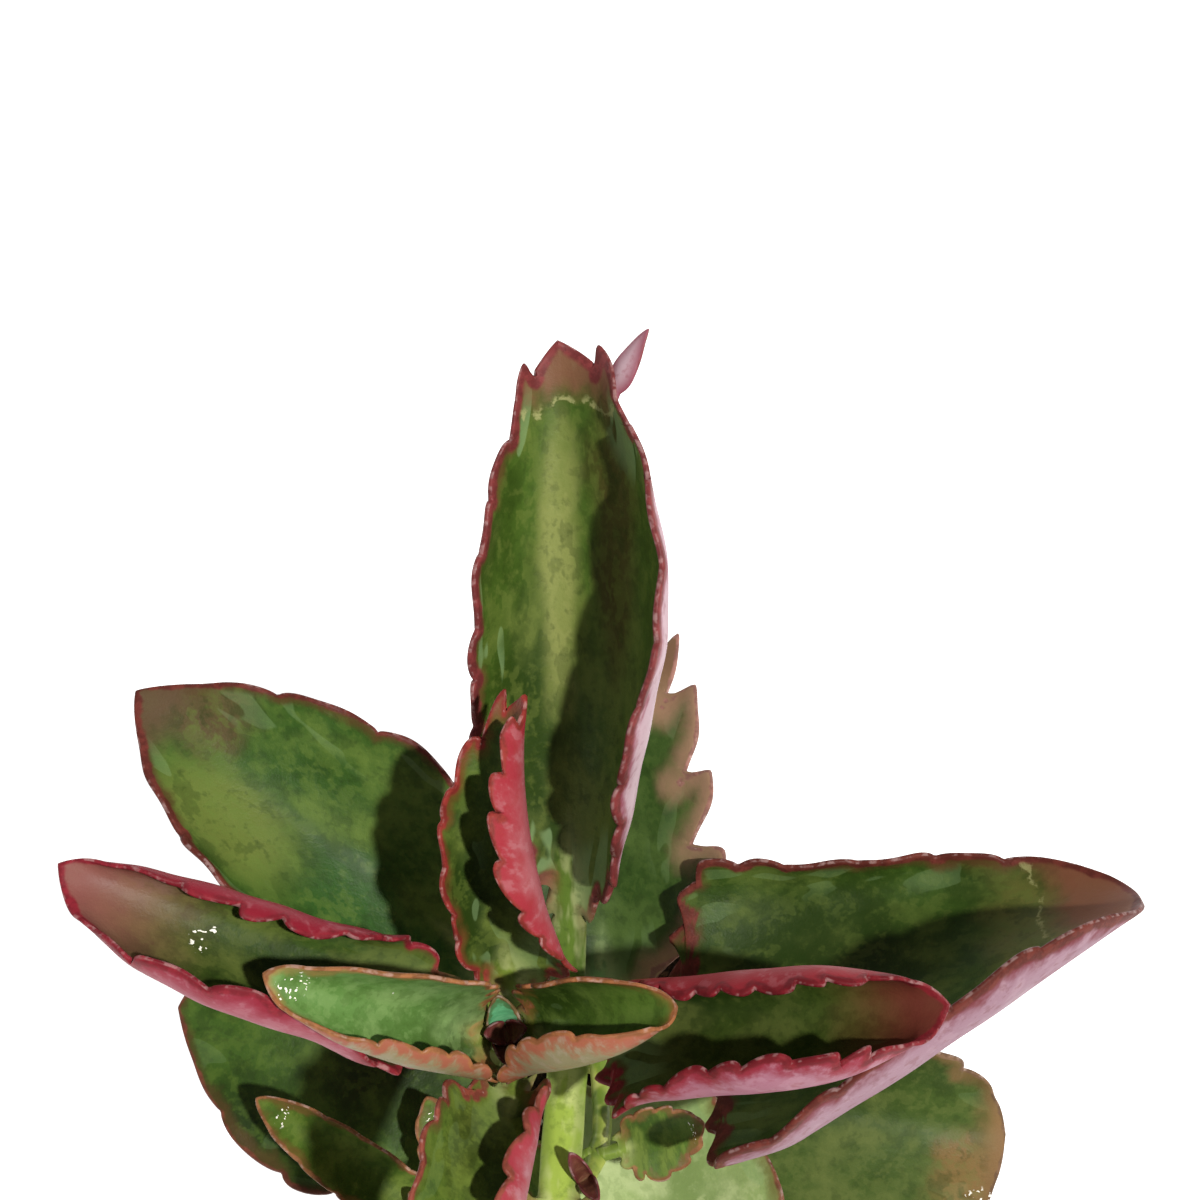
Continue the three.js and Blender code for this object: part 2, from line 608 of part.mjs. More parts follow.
// ---------------------------------------------------------------- the plant in its pot
const joints = nodesOf(Object.values(LEAVES));
const stem = leafyStem(STEM, STEM_RINGS, STEM_SIDES, joints, TIP_LEAVES);
const shootLeft = leafyStem(
  SHOOT_LEFT, SHOOT_RINGS, SHOOT_SIDES, nodesOf(SHOOT_LEFT_LEAVES), SHOOT_LEFT_LEAVES,
);
const shootFront = leafyStem(
  SHOOT_FRONT, SHOOT_RINGS, SHOOT_SIDES, nodesOf(SHOOT_FRONT_LEAVES), SHOOT_FRONT_LEAVES,
);
// The room that each stem takes in what it stands in or in what clasps it.
const stemRoom = solidOf(stemGeometry(STEM, STEM_RINGS, STEM_SIDES, joints, GAP));
const shootRoom = solidOf(stemGeometry(SHOOT_LEFT, SHOOT_RINGS, SHOOT_SIDES, [], GAP));

add("pot", potGeometry(), glazedPot);
add("soil", geometryOf(solidOf(soilGeometry()).subtract(stemRoom).subtract(shootRoom)), darkSoil);
add("stem", geometryOf(stem), stemGreen);
for (const [name, leaf] of Object.entries(LEAVES)) {
  const blade = solidOf(leafOn(STEM, leaf, BLADE_STATIONS, BLADE_LINES));
  const material = leaf.node > YOUNGEST_GREEN ? youngGreen : leafGreen;
  add(name, geometryOf(blade.subtract(stemRoom)), material);
}
add("shoot_left", geometryOf(shootLeft), leafGreen);
add("shoot_front", geometryOf(shootFront.subtract(stemRoom)), leafGreen);

export default group;
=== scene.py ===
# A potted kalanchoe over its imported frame: a leaning stem with crosswise pairs of fleshy,
# boat-shaped, scalloped leaves, two low side shoots, potting soil and a plain round glazed pot.
#
# Every leaf follows one law: a midrib that runs through space, a blade whose halves curl up from
# it, and scallops along the blade's edge. The plant's tables are in millimetres and degrees, and MM
# turns them into Blender's metres where a mesh gets its vertices.
import math
import random
from types import SimpleNamespace

import bmesh
import bpy
import numpy as np
from mathutils import Matrix, Vector, noise


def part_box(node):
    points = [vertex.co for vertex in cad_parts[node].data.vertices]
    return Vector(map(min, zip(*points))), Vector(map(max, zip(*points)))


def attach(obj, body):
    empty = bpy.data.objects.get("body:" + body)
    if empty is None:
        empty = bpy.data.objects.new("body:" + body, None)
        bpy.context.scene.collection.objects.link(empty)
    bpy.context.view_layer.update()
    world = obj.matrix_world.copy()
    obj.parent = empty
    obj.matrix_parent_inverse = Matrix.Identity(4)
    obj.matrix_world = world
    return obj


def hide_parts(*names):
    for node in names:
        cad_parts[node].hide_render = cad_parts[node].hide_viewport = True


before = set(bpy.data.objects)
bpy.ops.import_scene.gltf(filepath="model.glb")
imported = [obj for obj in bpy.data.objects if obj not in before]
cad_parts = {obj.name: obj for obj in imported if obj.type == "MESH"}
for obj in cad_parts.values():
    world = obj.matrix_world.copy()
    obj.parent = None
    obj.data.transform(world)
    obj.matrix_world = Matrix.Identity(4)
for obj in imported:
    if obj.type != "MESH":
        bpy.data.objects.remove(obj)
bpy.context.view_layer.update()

MM = 0.001

# ---------------------------------------------------------------- sizes of the stems
# Each row of a stem is a place, from the foot up, and the radius there.
STEM = [
    (2, 9, 62, 5.2), (2, 9, 98, 6.4), (2, 9, 112, 6.4), (1, 8, 124, 6.2), (-1, 8, 138, 6),
    (-5, 8, 152, 5.6), (-10, 6, 166, 4.8), (-15, 4, 177, 3.8), (-16, 2, 184, 3), (-16, 2, 191, 1.4),
]
SHOOT_LEFT = [
    (-13, -13, 74, 2.4), (-13, -13, 98, 2.8), (-18, -24, 112, 2.6), (-24, -32, 124, 2.2),
    (-26, -35, 132, 1.1),
]
SHOOT_FRONT = [
    (0, 8, 140, 2), (1, -4, 144, 2), (1, -13, 151, 1.9), (-1, -20, 159, 1.7), (-3, -24, 167, 0.9),
]
STEM_SIDES = 32
STEM_TIP = 1.2
JOINT_SWELL = 0.16
JOINT_REACH = 2

# ---------------------------------------------------------------- the law's constants
# Angles are in degrees. A pair is where a change along the blade starts and ends, as shares of the
# blade's length: below 0 is on the stalk.
KEEL = 14
STALK_KEEL = 14
KEEL_CHANGE = (-0.1, 0.3)
CURL_START = -0.15
RIB_STEPS = 120
RIB_GROOVE = 4
ACROSS_NODES, ACROSS_WEIGHTS = np.polynomial.legendre.leggauss(6)

BASE_ROUNDING = 2.2
TIP_ROUNDING = 1.8
JOINING = 4
NARROWING = 0.6
LEAST_NARROWING = 0.35
OUTLINE_STEPS = 700

STALK_THICKER = 0.4
STALK_CHANGE = (-0.1, 0.2)
TIP_THINNER = 0.4
TIP_CHANGE = (0.7, 1)
EDGE_THICKNESS = 0.42
EDGE_THINNING = 1.5
LEAST_THICKNESS = 0.7

TOOTH_LEAN = 0.5
BASE_TOOTH_LEAN = 1.3
TIP_TOOTH_LEAN = 0.3
TIP_TEETH_REACH = 0.1
FIRST_TOOTH = 0.012
UNEVEN_PITCH, PITCH_TURN = 0.13, 2.3
UNEVEN_SIZE, SIZE_TURN, SIZE_START = 0.22, 2.1, 1.7
TOOTH_DEPTH = 7

WAVE_DEPTH = 4
WAVE_LENGTH, WAVE_PER_WIDTH = 6, 0.31
EDGE_CROWDING = 0.3
STALK_GRID = 1.6

# ---------------------------------------------------------------- the leaves
# What every leaf has unless its age or its own row says otherwise. It grows from the stem at the
# height node, with a heading that swings on along it, and a rise and a roll from stem to tip. half
# is its half width, lopsided the share by which the left half is wider, and widest the share of the
# blade where that is. late, curl, bow, base_curl and tip_teeth are for the left and the right half:
# how late the half starts, how far and how evenly it curls up, its curl near the base, and the
# longer teeth at its tip. plain is the share of the edge without teeth, and last the share over
# which they fade before it. grid and round set the mesh: millimetres along, and places round.
ANY = dict(
    swing=0, roll=(0, 0), lopsided=0, shoulder=0.5, taper=0.7, late=(0, 0), bow=(1, 1),
    base_curl=(0.35, 0.35), base_reach=0.3, pitch=0.85, peak=0.63, sharpness=0.6, base_spread=0.14,
    base_sharpness=2.2, tip_teeth=(0, 0), last=0.12, wave=0.45, grid=0.62, round=72,
)
YOUNG = dict(
    ANY, stalk=6, stalk_half=2.3, thickness=1.9, widest=0.38, curl=(80, 70), teeth=8, tooth=0.9,
    base_teeth=1.6, plain=0.3, wave=0.2, grid=0.4,
)
MIDDLE = dict(
    ANY, stalk=15, stalk_half=3.6, thickness=2.5, widest=0.42, curl=(130, 130), teeth=9, tooth=1.4,
    base_teeth=1.4, plain=0.14, grid=0.5,
)
OLD = dict(
    ANY, stalk=22, stalk_half=4.2, thickness=2.7, widest=0.42, taper=0.8, curl=(40, 30), teeth=7,
    tooth=1.6, base_teeth=1.2, plain=0.1,
)
TINY = dict(
    ANY, stalk=1.5, stalk_half=1.2, thickness=1.2, widest=0.45, curl=(60, 60), teeth=0, tooth=0,
    base_teeth=0, plain=1, wave=0.1, grid=0.35, round=32,
)
SMALL = dict(
    TINY, stalk=6, stalk_half=1.6, thickness=1.6, curl=(30, 30), teeth=5, tooth=1, base_teeth=0.5,
    plain=0.1, round=40,
)

LEAVES = {
    "leaf_1_left": dict(
        YOUNG, node=184, heading=178.3, swing=-15, rise=(56, 29), roll=(0, -12.6), length=54.7,
        half=15.9, lopsided=0.02, widest=0.34, taper=0.82, late=(0.03, 0.09), curl=(172, 86.3),
        bow=(1.8, 0.6), tooth=1.2, base_teeth=3.6, base_spread=0.2,
    ),
    "leaf_1_right": dict(
        YOUNG, node=184, heading=-3, swing=15, rise=(48, 32), roll=(4, -3), length=40, half=18,
        lopsided=-0.15, widest=0.45, taper=0.8, late=(0.03, 0.03), curl=(105, 150), tooth=1.2,
        base_teeth=3.6, base_spread=0.2,
    ),
    "leaf_2_back": dict(
        MIDDLE, node=177, heading=102, swing=-31, rise=(43.5, 35), roll=(39, -56), stalk=10,
        stalk_half=3, length=69, half=16.8, lopsided=-0.22, thickness=2.1, widest=0.5, taper=0.9,
        curl=(92, 128), bow=(1.4, 1.2), tooth=2, tip_teeth=(3, 1), plain=0.08, last=0.03,
    ),
    "leaf_2_front": dict(
        MIDDLE, node=177, heading=-91, swing=-8, rise=(46, 14), roll=(-19, 20), stalk=14,
        stalk_half=3, length=65, half=17, lopsided=-0.1, thickness=2.1, widest=0.45,
        late=(0.05, 0.06), curl=(140, 82), teeth=8, tooth=1.9, base_teeth=2.2, base_spread=0.24,
    ),
    "leaf_3_left": dict(
        MIDDLE, node=166, heading=170.4, swing=-10.4, rise=(40, 19.9), roll=(0, -8), stalk=22,
        length=99.1, half=21.3, lopsided=0.33, widest=0.5, shoulder=0.72, taper=0.88,
        curl=(145, 147), bow=(1.45, 1.3), base_curl=(0.35, 0.1), base_reach=0.45, teeth=8,
        tooth=2.4, base_teeth=0.4,
    ),
    "leaf_3_right": dict(
        MIDDLE, node=166, heading=0, swing=-0.7, rise=(35.4, 20), roll=(18.2, 5.3), length=81.3,
        half=26.6, lopsided=-0.25, widest=0.6, taper=0.97, curl=(135, 137), teeth=12, tooth=2.2,
    ),
    "leaf_4_back": dict(
        OLD, node=152, heading=89.4, swing=3.2, rise=(36, 34), roll=(-14, 0), stalk=24,
        length=137.6, half=33.4, lopsided=-0.31, widest=0.57, shoulder=1, taper=0.92,
        curl=(81, 105), bow=(1.1, 0.9), base_curl=(0.35, 1.7), base_reach=0.65, teeth=11, tooth=2,
        tip_teeth=(2, 4), plain=0.06, last=0.02,
    ),
    "leaf_4_front": dict(
        OLD, node=152, heading=-94, swing=4, rise=(24, 2), stalk=36, stalk_half=4.4, length=118,
        half=24, curl=(70, 60), teeth=8,
    ),
    "leaf_5_left": dict(
        OLD, node=138, heading=149, swing=-7, rise=(30, 7), roll=(-5, 4), length=118, half=26.6,
        widest=0.44, taper=0.84, curl=(96, 32), bow=(3, 1), teeth=6, tooth=1.8,
    ),
    "leaf_5_right": dict(
        OLD, node=138, heading=-3.5, swing=27.6, rise=(18.2, 24.4), roll=(3.4, -70), stalk=20,
        length=116, half=43, lopsided=-0.19, widest=0.11, taper=0.42, late=(0, 0.09),
        curl=(132, 86.5), bow=(3, 2.4), base_curl=(0.25, 0.95), base_reach=0.5, teeth=11,
        pitch=0.55, base_teeth=3, base_spread=0.2, base_sharpness=4,
    ),
    "leaf_6_back": dict(
        OLD, node=124, heading=91, swing=-14, rise=(29, 10), roll=(0, -4), stalk=9, length=90,
        half=23.2, shoulder=0.36, curl=(30, 40), teeth=4.33, tooth=9.6, pitch=2.07, peak=0.76,
        sharpness=1, base_teeth=-0.3, plain=0.03, last=0.04,
    ),
    "leaf_6_front": dict(
        OLD, node=124, heading=-72, swing=6, rise=(16, -6), stalk=9, length=92, half=25,
        curl=(30, 30), tooth=2.2,
    ),
    "leaf_7_left": dict(
        OLD, node=112, heading=182, swing=-12.5, rise=(16, -5), roll=(-4, -20), length=94.5,
        half=33, lopsided=0.04, widest=0.46, curl=(14, 24),
    ),
    "leaf_7_right": dict(
        OLD, node=112, heading=-25, swing=25, rise=(10, -10), roll=(3, 12), length=90, half=30,
        lopsided=-0.11, widest=0.38, taper=0.55, curl=(60, 32), tooth=2.8,
    ),
}
# The height above which a leaf counts as young.
YOUNG_ABOVE = 170
# Teeth folded out of a leaf's margin. Each starts at its root, and takes its tones from one place
# on the leaf: a share of the blade, millimetres to the left of the midrib and in from the rim.
FOLDED_TEETH = {
    "leaf_4_back": dict(
        TINY, root=np.array([2.4, 107.4, 234.6]), at=0.75, out=-12, in_from_rim=1.8, heading=70,
        swing=-20, rise=(22, 22), roll=(168, 150), stalk=1, length=14, half=2.7, thickness=1,
        widest=0.3, taper=0.9, curl=(30, 30), grid=0.4,
    ),
}
TIP_LEAVES = [
    dict(TINY, skin="teal_bud", node=187, heading=104, rise=(64, 48), length=12.5, half=4,
         thickness=1.3),
    dict(TINY, skin="purple_bud", node=187, heading=-80, rise=(56, 30), length=9, half=4.2,
         curl=(85, 85)),
    dict(TINY, skin="purple_bud", node=189, heading=8, rise=(62, 50), length=8, half=2.8),
    dict(TINY, skin="purple_bud", node=189, heading=188, rise=(62, 50), length=8, half=2.8),
]
SHOOT_LEFT_LEAVES = [
    dict(SMALL, skin="green_shoot", node=127, heading=148, rise=(28, 0), stalk=9, length=55, half=8,
         curl=(50, 75)),
    dict(SMALL, skin="green_shoot", node=127, heading=-29, rise=(15, -10), length=28, half=7),
    dict(SMALL, skin="green_shoot", node=122, heading=115, rise=(34, 12), length=32, half=7),
    dict(TINY, skin="green_shoot", node=130, heading=138, rise=(50, 15), length=20, half=4.5,
         curl=(70, 70)),
    dict(TINY, skin="green_shoot", node=130, heading=-42, rise=(55, 30), length=16, half=4.5,
         curl=(70, 70)),
]
SHOOT_FRONT_LEAVES = [
    dict(SMALL, skin="green_shoot", node=155, heading=16, rise=(-4, 6), roll=(20, 40), stalk=4,
         length=22, half=8, tooth=1.4),
    dict(SMALL, skin="green_shoot", node=155, heading=-160, rise=(-20, -30), stalk=4, length=20,
         half=6),
    dict(TINY, skin="purple_bud", node=163, heading=122, rise=(62, 50), length=11, half=2.6,
         curl=(80, 80)),
    dict(TINY, skin="purple_bud", node=163, heading=-58, rise=(66, 56), length=11, half=2.6,
         curl=(80, 80)),
]

# ---------------------------------------------------------------- sizes of the pot and the soil
_, POT_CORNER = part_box("pot")
POT_HEIGHT = POT_CORNER.z
POT_LIP_RADIUS = POT_CORNER.x
POT_FOOT_RADIUS = 40 * MM
POT_WALL = 4 * MM
POT_FLOOR = 7 * MM
POT_BAND_FOOT = POT_HEIGHT - 17 * MM
POT_BAND_STEP = 2.5 * MM
POT_EDGE = 1.4 * MM
POT_SIDES = 144
SOIL_TOP = 98 * MM
SOIL_CROWN = 2.5 * MM
SOIL_FOOT = POT_FLOOR + 0.3 * MM
SOIL_GAP = 0.1 * MM
SOIL_GRID = 110
# The height and the breadth of each size of lump, and where its noise is read.
SOIL_LUMPS = ((0.9, 9 * MM, 0), (0.7, 2.6 * MM, 3))
# How many crumbs of each kind, their sizes, and what their draws start from.
BARK_CRUMBS = (420, (0.8, 2.4), 5)
PERLITE_CRUMBS = (46, (0.7, 1.5), 9)


# ---------------------------------------------------------------- arithmetic on arrays
def mix(a, b, share):
    return a + (b - a) * share


def smoothstep(x, low, high):
    x = np.clip((x - low) / (high - low), 0, 1)
    return x * x * (3 - 2 * x)


def smooth_through(knots, values, at):
    """A smooth curve through values at knots, by cubic pieces with slopes from the neighbours."""
    slope = np.gradient(values, knots)
    i = np.clip(np.searchsorted(knots, at, "right") - 1, 0, len(knots) - 2)
    width = knots[i + 1] - knots[i]
    t = (at - knots[i]) / width
    start = (1 + 2 * t) * (1 - t) ** 2 * values[i] + t * (1 - t) ** 2 * width * slope[i]
    return start + t * t * (3 - 2 * t) * values[i + 1] + t * t * (t - 1) * width * slope[i + 1]


def by_side(side, pair):
    """Takes from a pair of left and right: side is 1 on the left of the midrib, -1 on the right."""
    return np.where(side > 0, *pair)


# ---------------------------------------------------------------- the law of a leaf
def rib_angles(leaf, share):
    heading = np.radians(leaf.heading + leaf.swing * share)
    return heading, np.radians(mix(*leaf.rise, share)), np.radians(mix(*leaf.roll, share))


def rib_direction(leaf, share):
    heading, rise, _ = rib_angles(leaf, share)
    level = np.cos(rise)
    return np.stack([level * np.cos(heading), level * np.sin(heading), np.sin(rise)], -1)


def rib_frame(leaf, along):
    """Places on the midrib, with the directions to the left of it and out of its upper face."""
    share = np.clip(along / leaf.length, 0, 1)
    steps = np.linspace(0, 1, RIB_STEPS + 1)
    paces = rib_direction(leaf, (steps[1:] + steps[:-1]) / 2) * leaf.length / RIB_STEPS
    path = leaf.root + np.vstack([np.zeros(3), np.cumsum(paces, 0)])
    place = np.stack([np.interp(share, steps, path[:, k]) for k in range(3)], -1)
    heading, _, roll = rib_angles(leaf, share)
    level = np.stack([-np.sin(heading), np.cos(heading), np.zeros_like(heading)], -1)
    upright = np.cross(rib_direction(leaf, share), level)
    sine, cosine = np.sin(roll)[..., None], np.cos(roll)[..., None]
    return place, level * cosine + upright * sine, upright * cosine - level * sine


def blade_at(leaf, along):
    """Share of the blade's length at a distance along the leaf: below 0 on the stalk."""
    return (along - leaf.stalk) / (leaf.length - leaf.stalk)


def blade_share(leaf, t):
    """Half width of the blade, as a share of its widest, at a share t of the blade's length."""
    t = np.clip(t, 0, 1)
    before = (1 - np.clip(1 - t / leaf.widest, 0, 1) ** BASE_ROUNDING) ** leaf.shoulder
    after = np.clip((t - leaf.widest) / (1 - leaf.widest), 0, 1)
    return np.where(t < leaf.widest, before, (1 - after**TIP_ROUNDING) ** leaf.taper)


def widest_half(leaf, side):
    return leaf.half * (1 + side * leaf.lopsided)


def half_width(leaf, side, along):
    t = blade_at(leaf, along)
    late = by_side(side, leaf.late)
    blade = widest_half(leaf, side) * blade_share(
        leaf, np.where(t < 0, t, np.maximum(t - late, 0) / (1 - late)))
    joined = (blade**JOINING + leaf.stalk_half**JOINING) ** (1 / JOINING)
    return np.where(t < leaf.widest, joined, blade)


def thickness_at(leaf, along, share):
    t = blade_at(leaf, along)
    stalk = 1 + STALK_THICKER * (1 - smoothstep(t, *STALK_CHANGE))
    tip = 1 - TIP_THINNER * smoothstep(t, *TIP_CHANGE)
    to_edge = mix(1, EDGE_THICKNESS, share**EDGE_THINNING)
    return np.maximum(LEAST_THICKNESS, leaf.thickness * stalk * tip * to_edge)


def bend(leaf, side, along, out, lift):
    """Bends flat places into space; lift is the height over the middle of the thickness."""
    place, left, up = rib_frame(leaf, along)
    t = blade_at(leaf, along)
    narrow = np.maximum(blade_share(leaf, t), LEAST_NARROWING) ** NARROWING
    reach = widest_half(leaf, side) * np.where(t > leaf.widest, narrow, 1)
    opening = mix(by_side(side, leaf.base_curl), 1, smoothstep(t, CURL_START, leaf.base_reach))
    start = np.radians(KEEL + STALK_KEEL * (1 - smoothstep(t, *KEEL_CHANGE)))
    end = np.radians(np.maximum(KEEL, by_side(side, leaf.curl) * opening))
    bow = by_side(side, leaf.bow)
    across = height = 0
    for node, weight in zip((ACROSS_NODES + 1) / 2, ACROSS_WEIGHTS / 2):
        tilt = start + (end - start) * np.minimum(out * node / reach, 1) ** bow
        across = across + weight * out * np.cos(tilt)
        height = height + weight * out * np.sin(tilt)
    turn = start + (end - start) * np.minimum(out / reach, 1) ** bow
    height = height + np.sin(start) * (np.hypot(out, RIB_GROOVE) - out)
    tilt = turn * np.tanh(out / RIB_GROOVE)
    sideways = side * (across - np.sin(tilt) * lift)
    return place + left * sideways[..., None] + up * (height + np.cos(tilt) * lift)[..., None]


def outline(leaf, side):
    """The plain outline of one half, finely: places along and out, and the run of its edge."""
    t = (1 - np.cos(np.linspace(0, math.pi, OUTLINE_STEPS))) / 2
    along = mix(leaf.stalk, leaf.length, t)
    out = half_width(leaf, side, along)
    out[-1] = 0
    run = np.concatenate([[0], np.cumsum(np.hypot(np.diff(along), np.diff(out)))])
    return along, out, run


def scallops(leaf, side, share, seed):
    """How far each place of the edge moves out and on, for shares of the blade's edge."""
    if not leaf.teeth:
        return np.zeros_like(share), np.zeros_like(share)
    left = 1 - leaf.plain - share
    count = leaf.teeth * np.clip(share / (1 - leaf.plain), 0, 1) ** leaf.pitch
    inside = smoothstep(count, 0, 1), smoothstep(leaf.teeth - count, 0, 1)
    count = count + UNEVEN_PITCH * np.sin(PITCH_TURN * count + seed) * inside[0] * inside[1]
    phase = count % 1
    rise, fall = phase / leaf.peak, (1 - phase) / (1 - leaf.peak)
    size = 1 + UNEVEN_SIZE * np.sin(SIZE_TURN * np.floor(count) + SIZE_START * seed)
    near_base = np.exp(-((share / leaf.base_spread) ** 2))
    sharpness = mix(leaf.sharpness, max(leaf.sharpness, leaf.base_sharpness), near_base)
    crown = np.sin(math.pi / 2 * np.minimum(rise, fall)) ** sharpness
    near_tip = np.exp(-((left / TIP_TEETH_REACH) ** 2)) * by_side(side, leaf.tip_teeth)
    longer = size * (1 + leaf.base_teeth * near_base + near_tip)
    fade = smoothstep(left, -0.01, leaf.last) * smoothstep(share, 0, FIRST_TOOTH)
    offset = np.where(left > 0, leaf.tooth * longer * fade * (crown - 0.5), 0)
    lean = mix(TOOTH_LEAN, -BASE_TOOTH_LEAN, near_base) + TIP_TOOTH_LEAN * near_tip
    return offset, lean * offset


def scalloped_edge(leaf, side, along, seed):
    """How far one half's edge moves along and out at each section, and the line it then runs on."""
    fine_along, fine_out, run = outline(leaf, side)
    here = np.interp(along, fine_along, run, left=0)
    offset, lean = scallops(leaf, side, here / run[-1], seed + side)
    on = np.interp(here, run, np.gradient(fine_along, run))
    outward = np.interp(here, run, np.gradient(fine_out, run))
    move_on, move_out = -outward * offset + on * lean, on * offset + outward * lean
    plain_out = half_width(leaf, side, along)
    plain_out[-1] = 0
    line = np.stack([along + move_on, side * (plain_out + move_out)], -1)
    return move_on[:, None], move_out[:, None], line


def section_shares(count):
    """Places round a section, from the right edge over the upper face to the left edge and back
    underneath: the share of the half width from the midrib, negative on the right, and the face."""
    turn = np.linspace(0, 2 * math.pi, count + 1)
    share = -np.cos(turn) * (1 - EDGE_CROWDING * np.sin(turn) ** 2)
    return share, np.where(turn < math.pi, 1.0, -1.0)


def stations(leaf):
    """Places along the leaf: evenly on the stalk, and evenly along the edge on the blade."""
    along, _, left_run = outline(leaf, 1)
    run = (left_run + outline(leaf, -1)[2]) / 2
    stalk = np.linspace(0, leaf.stalk, max(4, round(leaf.stalk / STALK_GRID)))[:-1]
    count = round(run[-1] / leaf.grid)
    return np.concatenate([stalk, np.interp(np.linspace(0, run[-1], count), run, along)])


def leaf_surface(leaf, seed):
    """The leaf's surface as an array of sections, with what its colours depend on."""
    stops = stations(leaf)
    share, face = section_shares(leaf.round)
    edges = [scalloped_edge(leaf, side, stops, seed) for side in (1, -1)]
    move_on, move_out, lines = zip(*edges)
    side = np.where(share >= 0, 1, -1) * np.ones((len(stops), 1))
    share = np.abs(share) * np.ones_like(side)
    along = stops[:, None] * np.ones_like(side)
    width = half_width(leaf, side, along)
    width[-1] = 0
    pull = share**TOOTH_DEPTH
    flat_along = along + pull * by_side(side, move_on)
    flat_out = np.maximum(share * width + pull * by_side(side, move_out), 0)
    half_thick = thickness_at(leaf, along, share) / 2
    rim = np.minimum(half_thick, width)
    past = np.clip((share * width - (width - rim)) / np.maximum(rim, 1e-6), 0, 1)
    lift = rim * np.sqrt(1 - past**2) * face
    length = WAVE_PER_WIDTH * leaf.half + WAVE_LENGTH
    ripple = np.sin(2 * math.pi * flat_along / length + seed + side)
    wave = leaf.wave * share**WAVE_DEPTH * ripple * smoothstep(width, 0, 0.5 * leaf.half)
    flat = np.stack([flat_along, side * flat_out], -1)
    line = np.concatenate(lines)
    to_edge = np.stack([
        np.sqrt(((row[:, None, :] - line) ** 2).sum(-1)).min(-1) for row in flat
    ])
    return SimpleNamespace(
        places=bend(leaf, side, flat_along, flat_out, lift + wave), to_edge=to_edge,
        face=lift / half_thick, blade=blade_at(leaf, flat_along), out=side * flat_out,
    )


# ---------------------------------------------------------------- meshes
# What a leaf's vertices carry for its colours: millimetres to the rim, 1 on the upper and -1 on the
# under face, the share of the blade's length, and millimetres to the left of the midrib.
COLOUR_LAYERS = ("to_edge", "face", "blade", "out")


def rolled_grid(bm, places, layers=None):
    """A grid rolled up into a closed skin: its columns run round, its rows run along."""
    rows, columns = places.shape[0] - 1, places.shape[1] - 1
    layers = layers or {}
    kept = bm.verts.layers.float
    for name in layers:
        if name not in kept.keys():
            kept.new(name)
    made = bmesh.ops.create_grid(bm, x_segments=rows, y_segments=columns, size=0.5)
    for vert in made["verts"]:
        i = round((vert.co.x + 0.5) * rows)
        j = round((vert.co.y + 0.5) * columns)
        vert.co = places[i, j] * MM
        for name, values in layers.items():
            vert[kept[name]] = values[i, j]
    bmesh.ops.remove_doubles(bm, verts=made["verts"], dist=2e-6)
    open_edges = [e for e in bm.edges if e.is_boundary]
    bmesh.ops.holes_fill(bm, edges=open_edges, sides=0)
    bmesh.ops.recalc_face_normals(bm, faces=bm.faces)


def add_surface(bm, surface):
    rolled_grid(bm, surface.places, {name: getattr(surface, name) for name in COLOUR_LAYERS})


def add_leaf(bm, stem, row, seed):
    leaf = SimpleNamespace(**row)
    rows = np.array(stem, float)
    leaf.root = np.array([np.interp(leaf.node, rows[:, 2], rows[:, k]) for k in range(3)])
    add_surface(bm, leaf_surface(leaf, seed))


def add_folded_tooth(bm, row, seed):
    tooth = SimpleNamespace(**row)
    surface = leaf_surface(tooth, seed)
    surface.blade = np.full_like(surface.blade, tooth.at)
    surface.out = np.full_like(surface.out, tooth.out)
    surface.to_edge = surface.to_edge + tooth.in_from_rim
    add_surface(bm, surface)


def add_stem(bm, stem, joints, rings):
    """A round stem along its rows, swollen where a pair of leaves grows from it."""
    rows = np.array(stem, float)
    knots = np.concatenate([[0], np.cumsum(np.linalg.norm(np.diff(rows[:, :3], axis=0), axis=1))])
    at = np.linspace(0, knots[-1], rings)
    line = np.stack([smooth_through(knots, rows[:, k], at) for k in range(4)], -1)
    ahead = np.gradient(line[:, :3], axis=0)
    ahead /= np.linalg.norm(ahead, axis=1)[:, None]
    sideways = np.array([1, 0, 0]) - ahead * ahead[:, :1]
    sideways /= np.linalg.norm(sideways, axis=1)[:, None]
    across = np.cross(ahead, sideways)
    swell = np.zeros(rings)
    for joint in joints:
        swell = np.maximum(swell, np.exp(-(((line[:, 2] - joint) / JOINT_REACH) ** 2)))
    into_tip = ((at - knots[-1] + STEM_TIP) / STEM_TIP).clip(0)
    radius = line[:, 3] * (1 + JOINT_SWELL * swell) * np.sqrt(np.clip(1 - into_tip**2, 0, 1))
    turn = np.linspace(0, 2 * math.pi, STEM_SIDES + 1)[None, :, None]
    around = sideways[:, None] * np.cos(turn) + across[:, None] * np.sin(turn)
    rolled_grid(bm, line[:, None, :3] + around * radius[:, None, None])


def add_object(name, data):
    made = bpy.data.objects.new(name, data)
    bpy.context.scene.collection.objects.link(made)
    return made


def add_mesh(name, bm, material):
    mesh = bpy.data.meshes.new(name)
    bm.to_mesh(mesh)
    bm.free()
    mesh.materials.append(material)
    return add_object(name, mesh)


def finish_piece(name, bm, material, slot, *nodes, smooth=True):
    for face in bm.faces:
        face.smooth = smooth
    piece = add_mesh(name, bm, material)
    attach(piece, "root")
    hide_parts(*nodes)


# ---------------------------------------------------------------- materials
def mix_colour(a, b, share):
    return tuple(mix(x, y, share) for x, y in zip(a, b))


def srgb(red, green, blue):
    """A colour from its screen values of 0 to 255."""
    def linear(x):
        x = x / 255
        return x / 12.92 if x <= 0.04045 else ((x + 0.055) / 1.055) ** 2.4
    return linear(red), linear(green), linear(blue)


